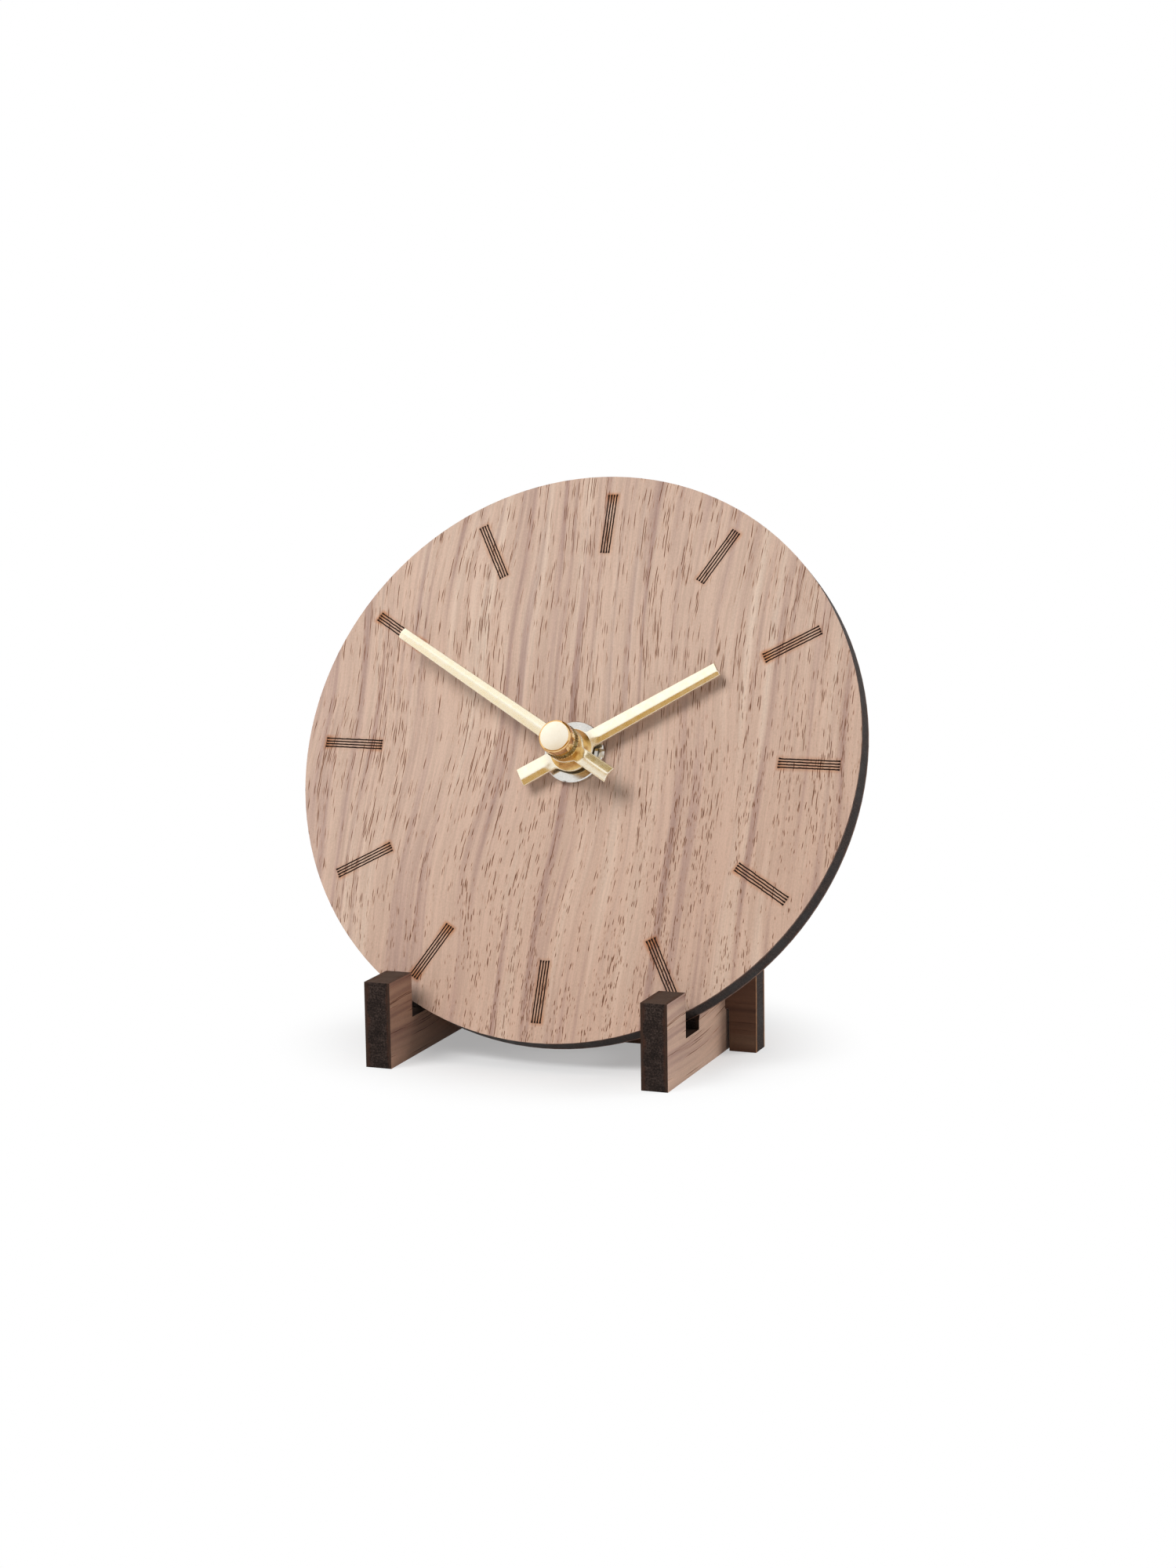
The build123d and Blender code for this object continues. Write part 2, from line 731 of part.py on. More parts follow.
with BuildPart() as coil_winding:
    with BuildSketch(coil_plane.offset(bobbin_flange)):
        Circle(coil_diameter / 2 - bobbin_wall / 2)
        Rectangle(tube_width, tube_height, mode=Mode.SUBTRACT)
    extrude(amount=coil_length - 2 * bobbin_flange)
keep(coil_winding, "coil_winding")

# Circuit board on the middle plate's back, with its chip under a drop of resin and the crystal in its can
with BuildPart() as circuit_board:
    extrude(block_face(circuit_back, circuit_left, circuit_right, circuit_low, circuit_top), amount=circuit)
keep(circuit_board, "circuit_board")

chip_place = ((circuit_left + circuit_right) / 2, (circuit_low + circuit_top) / 2)
with BuildPart() as chip_drop:
    extrude(round_face(circuit_back - chip, chip_diameter / 2, chip_place), amount=chip)
    fillet(chip_drop.edges().filter_by(GeomType.CIRCLE).sort_by(dial_axis)[0], chip_edge)
keep(chip_drop, "chip")

crystal_place = (
    circuit_left + crystal_inset + crystal_diameter / 2,
    (circuit_low + circuit_top - crystal_length) / 2,
)
with BuildPart() as crystal:
    with BuildSketch(upward(crystal_place, circuit_back - fit_play - crystal_diameter / 2)):
        Circle(crystal_diameter / 2)
    extrude(amount=crystal_length)
    fillet(crystal.edges().filter_by(GeomType.CIRCLE).sort_by(up_axis)[-1], crystal_edge)
keep(crystal, "quartz_crystal")

# Dry cell in its bay
cell_left = -cell_length / 2
with BuildPart() as dry_cell:
    with BuildSketch(across((cell_left, cell_up), cell_level)):
        Circle(cell_diameter / 2)
    extrude(amount=cell_length - cell_nub)
    fillet(dry_cell.edges().filter_by(GeomType.CIRCLE), cell_edge)
    with BuildSketch(across((cell_left + cell_length - cell_nub, cell_up), cell_level)):
        Circle(cell_nub_diameter / 2)
    extrude(amount=cell_nub)
keep(dry_cell, "dry_cell")

# Contacts: leaf springs at the cell's ends, with strips that run to the circuit board
contact_low_level = circuit_back - contact_width
contact_high = circuit_low + contact_width / 2
bump_length = contact_room - contact - contact_touch
with BuildPart() as negative_contact:
    finger_left = contact - inner_half
    leaf = block_face(contact_low_level, -inner_half, finger_left, bay_low + contact_inset, contact_high)
    extrude(leaf, amount=contact_width)
    finger_right = circuit_left + contact_inset
    finger = block_face(circuit_back - contact, finger_left, finger_right, circuit_low, contact_high)
    extrude(finger, amount=contact)
    with BuildSketch(across((finger_left, cell_up), cell_level)):
        Circle(contact_bump_diameter / 2)
    extrude(amount=bump_length)
keep(negative_contact, "negative_contact")

strip_low = chamber_low + contact_lift
strip_high = strip_low + contact
strip_left = setting_place[0] - setting_radius - riser_gap - contact
with BuildPart() as positive_contact:
    leaf = block_face(contact_low_level, inner_half - contact, inner_half, bay_low + contact_inset, strip_high)
    extrude(leaf, amount=contact_width)
    extrude(block_face(contact_low_level, strip_left, inner_half, strip_low, strip_high), amount=contact_width)
    riser = block_face(contact_low_level, strip_left, strip_left + contact, strip_low, contact_high)
    extrude(riser, amount=contact_width)
    with BuildSketch(across((cell_length / 2 + contact_touch, cell_up), cell_level)):
        Circle(contact_bump_diameter / 2)
    extrude(amount=bump_length)
keep(positive_contact, "positive_contact")

# Middle plate: bearings for the train, the stud of the minute wheel and holes for the arbors
arbor_hole_radius = train_arbor_diameter / 2 + run_play
middle_half = inner_half - middle_inset
with BuildPart() as middle_plate_part:
    middle_low = chamber_low + middle_inset
    middle_top = inner_top - middle_inset
    extrude(block_face(middle_back, -middle_half, middle_half, middle_low, middle_top), amount=middle_plate)
    shoulder_height = layer_gap - run_gap
    shoulder = round_face(middle_front, stud_shoulder_diameter / 2, minute_wheel_place)
    extrude(shoulder, amount=shoulder_height)
    stud = round_face(middle_front, stud_diameter / 2, minute_wheel_place)
    extrude(stud, amount=minute_pinion_top - middle_front)
    hole_radii = [(place, arbor_hole_radius) for place in train_places]
    hole_radii.append((centre_place, minute_tail_diameter / 2 + run_play))
    hole_radii.append((setting_place, setting_radius + run_play))
    for place, radius in hole_radii:
        extrude(round_face(middle_back, radius, place), amount=middle_plate, mode=Mode.SUBTRACT)
keep(middle_plate_part, "middle_plate")

# Front plate: closes the case, with a lip inside its walls and pillars that hold the middle plate down
with BuildPart() as front_plate:
    extrude(case_face(plate_back, 0), amount=plate)
    lip_inset = case_wall + lip_play
    extrude(case_face(plate_back, lip_inset), amount=-lip)
    extrude(case_face(plate_back, lip_inset + lip), amount=-lip, mode=Mode.SUBTRACT)
    bay_clear = block_face(plate_back, -case_half, case_half, case_low, chamber_low)
    extrude(bay_clear, amount=-lip, mode=Mode.SUBTRACT)
    for place in post_places:
        extrude(round_face(middle_front, post_diameter / 2, place), amount=plate_back - middle_front)
    bushing_hole = round_face(plate_back, bushing_diameter / 2 + fit_play)
    extrude(bushing_hole, amount=plate, mode=Mode.SUBTRACT)
keep(front_plate, "front_plate")

# Rear case: a moulded box with a gear chamber and a cell bay that is open at the back
contact_slot = contact + 2 * cell_play
with BuildPart() as rear_case:
    extrude(case_face(case_back, 0), amount=case_depth)
    chamber = block_face(floor_in, -inner_half, inner_half, chamber_low, inner_top)
    extrude(chamber, amount=case_depth, mode=Mode.SUBTRACT)
    bay = block_face(case_back, -inner_half, inner_half, bay_low, bay_high)
    extrude(bay, amount=case_depth, mode=Mode.SUBTRACT)
    for slot_left in (-inner_half, inner_half - contact_slot):
        slot_right = slot_left + contact_slot
        slot = block_face(floor_in, slot_left, slot_right, bay_high - overrun, chamber_low + overrun)
        extrude(slot, amount=case_depth, mode=Mode.SUBTRACT)
    for place in post_places:
        extrude(round_face(floor_in, post_diameter / 2, place), amount=middle_back - floor_in)
    for place in train_places:
        extrude(round_face(floor_in, boss_diameter / 2, place), amount=boss_height)
        bore = round_face(floor_in + boss_height - bore_depth, arbor_hole_radius, place)
        extrude(bore, amount=bore_depth, mode=Mode.SUBTRACT)
    setting_hole = round_face(case_back, setting_radius + run_play, setting_place)
    extrude(setting_hole, amount=case_floor, mode=Mode.SUBTRACT)
keep(rear_case, "rear_case")
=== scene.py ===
import json
from functools import partial
from math import atan2, cos, pi, radians, sin
from types import SimpleNamespace

import bmesh
import bpy
import numpy as np
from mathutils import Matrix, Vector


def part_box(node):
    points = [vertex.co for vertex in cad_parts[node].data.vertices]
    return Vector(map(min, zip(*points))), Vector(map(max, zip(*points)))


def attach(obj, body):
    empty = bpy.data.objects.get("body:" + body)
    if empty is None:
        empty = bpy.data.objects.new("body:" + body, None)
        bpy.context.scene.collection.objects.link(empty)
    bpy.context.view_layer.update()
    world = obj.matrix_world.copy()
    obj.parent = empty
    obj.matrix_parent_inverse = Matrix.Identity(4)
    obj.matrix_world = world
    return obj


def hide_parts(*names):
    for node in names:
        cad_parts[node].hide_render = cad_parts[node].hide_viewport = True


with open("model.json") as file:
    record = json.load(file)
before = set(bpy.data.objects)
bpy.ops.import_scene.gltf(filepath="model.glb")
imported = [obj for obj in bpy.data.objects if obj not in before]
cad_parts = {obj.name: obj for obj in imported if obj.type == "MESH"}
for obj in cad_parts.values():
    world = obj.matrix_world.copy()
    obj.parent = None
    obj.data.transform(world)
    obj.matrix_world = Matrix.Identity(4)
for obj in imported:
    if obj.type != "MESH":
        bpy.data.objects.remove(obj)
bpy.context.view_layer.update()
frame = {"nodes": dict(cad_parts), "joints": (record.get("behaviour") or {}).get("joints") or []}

bl_info = {
    "name": "Leaning Desk Clock",
    "version": (1, 0, 0),
    "blender": (4, 5, 0),
    "location": "View3D > Sidebar > Clock",
    "description": "Dresses a veneered desk clock and its slotted stand",
    "category": "Object",
}

MM = 0.001
SHEET = 5.5 * MM
# The hands turn about the dial's normal, so their joint gives the dial's middle and its three directions
SPIN = next(joint for joint in frame["joints"] if joint["name"] == "minute_spin")
DIAL_CENTRE = np.array(SPIN["pos_m"])
DIAL_FRONT = -np.array(SPIN["axis"])
DIAL_RIGHT = np.array([1.0, 0.0, 0.0])
DIAL_UP = np.cross(DIAL_FRONT, DIAL_RIGHT)
# Turns that bring a board's grain to Y and its thickness to Z
DIAL_TURN = (-atan2(DIAL_UP[2], DIAL_UP[1]), 0.0, 0.0)
FOOT_TURN = (0.0, -pi / 2, 0.0)
BOARD_TURN = (pi / 2, 0.0, pi / 2)
# Settings that many shader nodes share
BLEND = {"pick": 2, "data_type": "RGBA"}
SMOOTH = {"interpolation_type": "SMOOTHSTEP"}
METAL = {"Metallic": 1.0}
WHITE = (1.0, 1.0, 1.0, 1.0)


def linear(code):
    """An sRGB hex colour as linear red, green, blue and full cover."""
    values = np.array([int(code[i : i + 2], 16) for i in (1, 3, 5)]) / 255
    return (*np.where(values <= 0.04045, values / 12.92, ((values + 0.055) / 1.055) ** 2.4), 1.0)


def length_property(name, description, millimetres):
    return bpy.props.FloatProperty(
        name=name, description=description, default=millimetres * MM, min=0.0, precision=5, unit="LENGTH"
    )


def angle_property(name, description, degrees):
    return bpy.props.FloatProperty(
        name=name, description=description, default=radians(degrees), subtype="ANGLE"
    )


def factor_property(name, description, factor):
    return bpy.props.FloatProperty(
        name=name, description=description, default=factor, min=0.0, subtype="FACTOR"
    )


def power_property(name, description, watts):
    return bpy.props.FloatProperty(
        name=name, description=description, default=watts, min=0.0, subtype="POWER"
    )


def place_property(name, description, metres):
    return bpy.props.FloatVectorProperty(
        name=name, description=description, default=metres, subtype="XYZ", unit="LENGTH"
    )


def colour_property(name, description, code):
    return bpy.props.FloatVectorProperty(
        name=name, description=description, default=linear(code), size=4, min=0.0, max=1.0, subtype="COLOR"
    )


class DialSettings(bpy.types.PropertyGroup):
    """Sizes of the dial's burnt marks and colours of the veneer"""

    mark_count: bpy.props.IntProperty(
        name="Marks", description="Hour marks round the dial", default=12, min=1
    )
    mark_middle: length_property("Mark radius", "Distance of a mark's middle from the dial's centre", 49.6)
    mark_length: length_property("Mark length", "Length of the burnt lines", 12.8)
    line_pitch: length_property("Line pitch", "Spacing of the four lines of a mark", 0.58)
    line_width: length_property("Line width", "Width of one burnt line", 0.28)
    line_waver: length_property("Line waver", "How far a burnt line wanders to its sides", 0.26)
    veneer_pale: colour_property("Pale wood", "Lightest tone of the veneer", "#E0C7B4")
    veneer_mid: colour_property("Wood", "Main tone of the veneer", "#D4B6A3")
    veneer_dusky: colour_property("Dusky wood", "Tone of the broad streaks", "#BFA194")
    vein: colour_property("Veins", "Tone of the narrow dusky streaks", "#A5867E")
    # Painted shade: the veneer is tinted darker towards the lower right, where the light falls off
    veneer_tint: colour_property("Tint", "Tint of the veneer towards the lower right", "#FAF5F2")
    pore_rim: colour_property("Pore rims", "Tone of the wood round an open pore", "#AA795B")
    pore: colour_property("Pores", "Tone of the open pores", "#5A3828")
    char: colour_property("Char", "Tone of the burnt lines", "#1E100B")
    scorch: colour_property("Scorch", "Tint of the wood browned beside a burnt mark", "#E9BB92")
    edge_dark: colour_property("Dark edge", "Darker tone of the cut edge of the dial's veneer", "#4A342A")
    edge_pale: colour_property("Pale edge", "Lighter tone of the cut edge of the dial's veneer", "#775848")


class StandSettings(bpy.types.PropertyGroup):
    """Colours of the laser-cut fibreboard"""

    char_dark: colour_property("Dark char", "Darkest tone of the charred edge", "#17110F")
    char_mid: colour_property("Char", "Main tone of the charred edge", "#2A211E")
    char_pale: colour_property("Pale char", "Lightest tone of the charred edge", "#473B36")
    char_warm: colour_property("Warm char", "Tone of the charred edge beside the veneer", "#45291D")
    # Painted sheen: a paler tone for the charred faces that look up, standing in for the light from above
    ash: colour_property("Ash", "Tone of the charred faces that look up", "#493A32")
    foot_edge: colour_property("Foot edge", "Tone of the cut edge of the feet's veneer", "#3A261C")
    board_edge: colour_property("Board edge", "Tone of the cut edge of the cross board's veneer", "#A9764B")


class HandSettings(bpy.types.PropertyGroup):
    """Sizes of the pressed hands and what holds them; heights are over the dial"""

    hour_angle: angle_property("Hour angle", "Hour hand's turn clockwise from twelve", 57.65)
    hour_reach: length_property("Hour reach", "From the centre to the hour hand's tip", 34.05)
    hour_tail: length_property("Hour tail", "From the centre to the end of the hour hand's tail", 12.0)
    hour_tip: length_property("Hour tip", "Width of the hour hand's tip", 2.95)
    hour_end: length_property("Hour end", "Width of the hour hand's tail", 3.95)
    hour_hub: length_property("Hour hub", "Diameter of the hour hand's hub at the blade", 9.0)
    hour_crest: length_property("Hour fold", "How far the fold lies to the right of the middle", 0.6)
    hour_steep: factor_property("Hour tail fold", "Height of the tail's fold over the blade's", 1.0)
    hour_low: length_property("Hour foot", "Height of the hour hand's collar", 1.8)
    hour_blade: length_property("Hour blade", "Height of the hour blade's face", 2.75)
    hour_top: length_property("Hour top", "Height of the hour hand's boss", 5.0)
    hour_bore: length_property("Hour bore", "Radius of the hour hand's bore", 2.52)
    minute_angle: angle_property("Minute angle", "Minute hand's turn clockwise from twelve", 299.55)
    minute_reach: length_property("Minute reach", "From the centre to the minute hand's tip", 46.0)
    minute_tail: length_property("Minute tail", "From the centre to the end of the minute hand's tail", 11.8)
    minute_tip: length_property("Minute tip", "Width of the minute hand's tip", 2.3)
    minute_end: length_property("Minute end", "Width of the minute hand's tail", 3.4)
    minute_hub: length_property("Minute hub", "Diameter of the minute hand's hub at the blade", 7.2)
    minute_crest: length_property("Minute fold", "How far the fold lies to the right of the middle", 0.0)
    minute_steep: factor_property("Minute tail fold", "Height of the tail's fold over the blade's", 1.9)
    minute_low: length_property("Minute foot", "Height of the minute hand's collar", 5.3)
    minute_blade: length_property("Minute blade", "Height of the minute blade's face", 6.05)
    minute_top: length_property("Minute top", "Height of the minute hand's boss", 8.0)
    minute_bore: length_property("Minute bore", "Radius of the minute hand's bore", 1.67)
    boss: length_property("Boss", "Diameter of a hand's boss at its top", 7.0)
    sheet: length_property("Sheet", "Thickness of the hands' sheet", 0.5)
    ridge: length_property("Ridge", "Height of the fold along a hand", 0.42)
    neck: length_property("Neck", "Size of the flare between blade and hub", 1.3)
    nut_top: length_property("Hand nut top", "Height of the hand nut's top", 9.7)
    cap_top: length_property("Cap top", "Height of the cap's face", 12.5)
    cap: length_property("Cap", "Diameter of the cap", 7.0)
    cap_bevel: length_property("Cap bevel", "Width of the rounded bevel round the cap's face", 0.5)
    cap_drop: length_property("Cap drop", "Height of the rounded bevel round the cap's face", 0.7)
    hand_nut: length_property("Hand nut", "Diameter of the knurled nut", 7.3)
    thread: length_property("Thread", "Radius of the arbor's thread", 1.42)
    knurls: bpy.props.IntProperty(
        name="Knurls", description="Ridges round the hand nut", default=40, min=3
    )
    brass: colour_property("Brass", "Colour of the hands", "#FBF6E9")
    gold: colour_property("Gold", "Colour of the cap's side", "#EBC793")
    cream: colour_property("Cream", "Colour of the cap's face", "#FFFAEE")


class StudioSettings(bpy.types.PropertyGroup):
    """Camera, light and floor"""

    camera_place: place_property("Camera", "Place of the camera", (0.233715, -0.590346, 0.159254))
    camera_turn: bpy.props.FloatVectorProperty(
        name="Camera turn",
        description="Turn of the camera",
        default=(radians(80.531), radians(0.8226), radians(21.1788)),
        subtype="EULER",
    )
    lens: bpy.props.FloatProperty(
        name="Lens", description="Focal length in millimetres", default=72.78, min=1.0, unit="CAMERA"
    )
    floor: colour_property("Floor", "Colour of the floor", "#E4E4E4")
    fill: factor_property("Fill", "Strength of the light from all round", 0.29)
    key: power_property("Key", "Power of the soft lamp", 8.9)
    side: power_property("Side", "Power of the weak lamp on the right", 7.0)
    lamp_size: length_property("Lamp size", "Diameter of the lamps", 600.0)
    key_place: place_property("Key place", "Place of the soft lamp", (-0.42, -0.6, 0.86))
    side_place: place_property("Side place", "Place of the weak lamp", (0.85, 0.5, 0.75))
    lift: factor_property("Lift", "Share of plain white in the floor under the clock", 0.36)


class ClockSettings(bpy.types.PropertyGroup):
    """All settings of the clock"""

    dial: bpy.props.PointerProperty(type=DialSettings)
    stand: bpy.props.PointerProperty(type=StandSettings)
    hands: bpy.props.PointerProperty(type=HandSettings)
    studio: bpy.props.PointerProperty(type=StudioSettings)


# Materials


def add(tree, kind, inputs=(), pick=0, stops=(), **settings):
    """Adds a node with its settings, its input values or links, and a ramp's stops. Returns one output."""
    node = tree.nodes.new("ShaderNode" + kind)
    for name, value in settings.items():
        setattr(node, name, value)
    for key, value in inputs.items() if isinstance(inputs, dict) else enumerate(inputs):
        if isinstance(value, bpy.types.NodeSocket):
            tree.links.new(value, node.inputs[key])
        else:
            node.inputs[key].default_value = value
    if stops:
        elements = node.color_ramp.elements
        while len(elements) < len(stops):
            elements.new(0.5)
        for element, (position, colour) in zip(elements, stops):
            element.position = position
            element.color = colour
    return node.outputs[pick] if node.outputs else None


def new_material(name):
    """An empty material, and what puts nodes into it."""
    material = bpy.data.materials.new(name)
    material.use_nodes = True
    material.node_tree.nodes.clear()
    return material, partial(add, material.node_tree)


def per_mm(*sizes):
    """Pattern scales, as features in a metre, from feature sizes in millimetres."""
    return tuple(1.0 / (size * MM) for size in sizes)


def board_place(put, turn, origin):
    """Object coordinates turned to a board: X across the grain, Y along it and Z through the thickness."""
    middle = put("VectorMath", [put("TexCoord", pick="Object"), tuple(origin)], operation="SUBTRACT")
    return put("Mapping", {"Vector": middle, "Rotation": turn})


def patches(put, place, sizes, detail=2.0, seed=0.0, pick=0):
    """Soft patches of the given sizes in millimetres along the three directions of a place."""
    spread = put("Mapping", {"Vector": place, "Scale": per_mm(*sizes), "Location": (seed, seed, seed)})
    return put("TexNoise", {"Vector": spread, "Scale": 1.0, "Detail": detail}, pick=pick)


def pore_rows(put, place, along, crowd, pitch, seed):
    """Open pores: lanes along the grain, each with a broken row of dashes of its own. A dash is as wide as a
    pattern along its lane stands over a level, so that its ends taper. Returns the distance from a dash's
    edge, which is negative inside it."""
    lane_step, sway = 7.31, 0.8
    slimmest, widest = -0.08 * MM, 0.075 * MM
    lanes = put("Math", [put("SeparateXYZ", [place]), 1 / pitch, seed], operation="MULTIPLY_ADD")
    lane = put("Math", [put("Math", [lanes], operation="FLOOR"), lane_step], operation="MULTIPLY")
    key = put("CombineXYZ", [lane, along, seed])
    row = put("TexNoise", {"Vector": key, "Scale": 1.0, "Detail": 1.5})
    drift = put("SeparateColor", [row.node.outputs["Color"]], pick=1)
    within = put("Math", [lanes], operation="FRACT")
    offset = put("Math", [drift, sway, within], operation="MULTIPLY_ADD")
    middle = put("Math", [offset, (1 + sway) / 2], operation="SUBTRACT")
    gap = put("Math", [put("Math", [middle], operation="ABSOLUTE"), pitch], operation="MULTIPLY")
    level = put("Math", [row, crowd], operation="ADD")
    half = put("MapRange", [level, 0.5, 0.68, slimmest, widest])
    return put("Math", [gap, half], operation="SUBTRACT")


def burnt_marks(put, place, dial):
    """Burnt hour lines: the polar angle, folded into one sector, gives a place along and across a mark, and
    four lanes across it hold a line each. Returns the shares of char and of scorch."""
    sector = 2 * pi / dial.mark_count
    pitch, half_band, half_length = dial.line_pitch, 2 * dial.line_pitch, dial.mark_length / 2
    right = put("SeparateXYZ", [place])
    radius = put("VectorMath", [place], pick="Value", operation="LENGTH")
    angle = put("Math", [right, right.node.outputs[1]], operation="ARCTAN2")
    turn = put("Math", [angle, sector], operation="DIVIDE")
    mark = put("Math", [turn], operation="ROUND")
    off = put("Math", [put("Math", [turn, mark], operation="SUBTRACT"), sector], operation="MULTIPLY")
    across = put("Math", [put("Math", [off], operation="SINE"), radius], operation="MULTIPLY")
    along = put("Math", [put("Math", [off], operation="COSINE"), radius], operation="MULTIPLY")
    # Each line wavers by itself, because the burn runs sideways into soft wood
    mark_step, lane_step, wave = 0.31, 7.3, 1.1
    lane = put("Math", [put("Math", [across, pitch], operation="DIVIDE")], operation="FLOOR")
    line_key = put("Math", [mark, mark_step, lane], operation="MULTIPLY_ADD")
    key = put("CombineXYZ", [along, line_key, 0.0])
    spread = put("Mapping", {"Vector": key, "Scale": (*per_mm(wave), lane_step, 1.0)})
    waver = put("TexNoise", {"Vector": spread, "Scale": 1.0, "Detail": 1.5})
    centred = put("Math", [waver, 0.5], operation="SUBTRACT")
    wavered = put("Math", [centred, dial.line_waver, across], operation="MULTIPLY_ADD")
    middle = put("Math", [lane, pitch, pitch / 2], operation="MULTIPLY_ADD")
    aside = put("Math", [wavered, middle], operation="SUBTRACT")
    gap = put("Math", [aside], operation="ABSOLUTE")
    # The beam dwells where a line starts and ends, and burns a wider dot there
    inner = put("Math", [along, dial.mark_middle], operation="SUBTRACT")
    outward = put("Math", [inner], operation="ABSOLUTE")
    beyond = put("Math", [outward, half_length], operation="SUBTRACT")
    dot = put("MapRange", [beyond, -0.7 * MM, -0.1 * MM, 0.0, 0.07 * MM], **SMOOTH)
    thin = put("Math", [gap, dot], operation="SUBTRACT")
    line = put("MapRange", [thin, 0.64 * dial.line_width, 0.36 * dial.line_width], **SMOOTH)
    ragged = put("Math", [centred, 0.5 * MM, beyond], operation="MULTIPLY_ADD")
    ends = put("MapRange", [ragged, 0.12 * MM, -0.08 * MM], **SMOOTH)
    sideways = put("Math", [across], operation="ABSOLUTE")
    beside = put("Math", [sideways, half_band], operation="SUBTRACT")
    band = put("Math", [beside, 0.0], operation="LESS_THAN")
    char = put("Math", [put("Math", [line, ends], operation="MULTIPLY"), band], operation="MULTIPLY")
    # Smoke browns the wood round some of the ends, and a little between the lines
    reach = put("Math", [beyond, beside, 1.0 * MM], operation="SMOOTH_MAX")
    halo = put("MapRange", [reach, 0.8 * MM, -0.2 * MM], **SMOOTH)
    patchy = put("MapRange", [patches(put, place, (9.0, 9.0, 9.0), 0.0, 3.0), 0.42, 0.62, 0.35, 1.0])
    near_end = put("MapRange", [beyond, -3.0 * MM, -0.3 * MM, 0.5, 1.0], **SMOOTH)
    smoke = put("Math", [patchy, near_end], operation="MULTIPLY")
    return char, put("Math", [halo, smoke], operation="MULTIPLY")


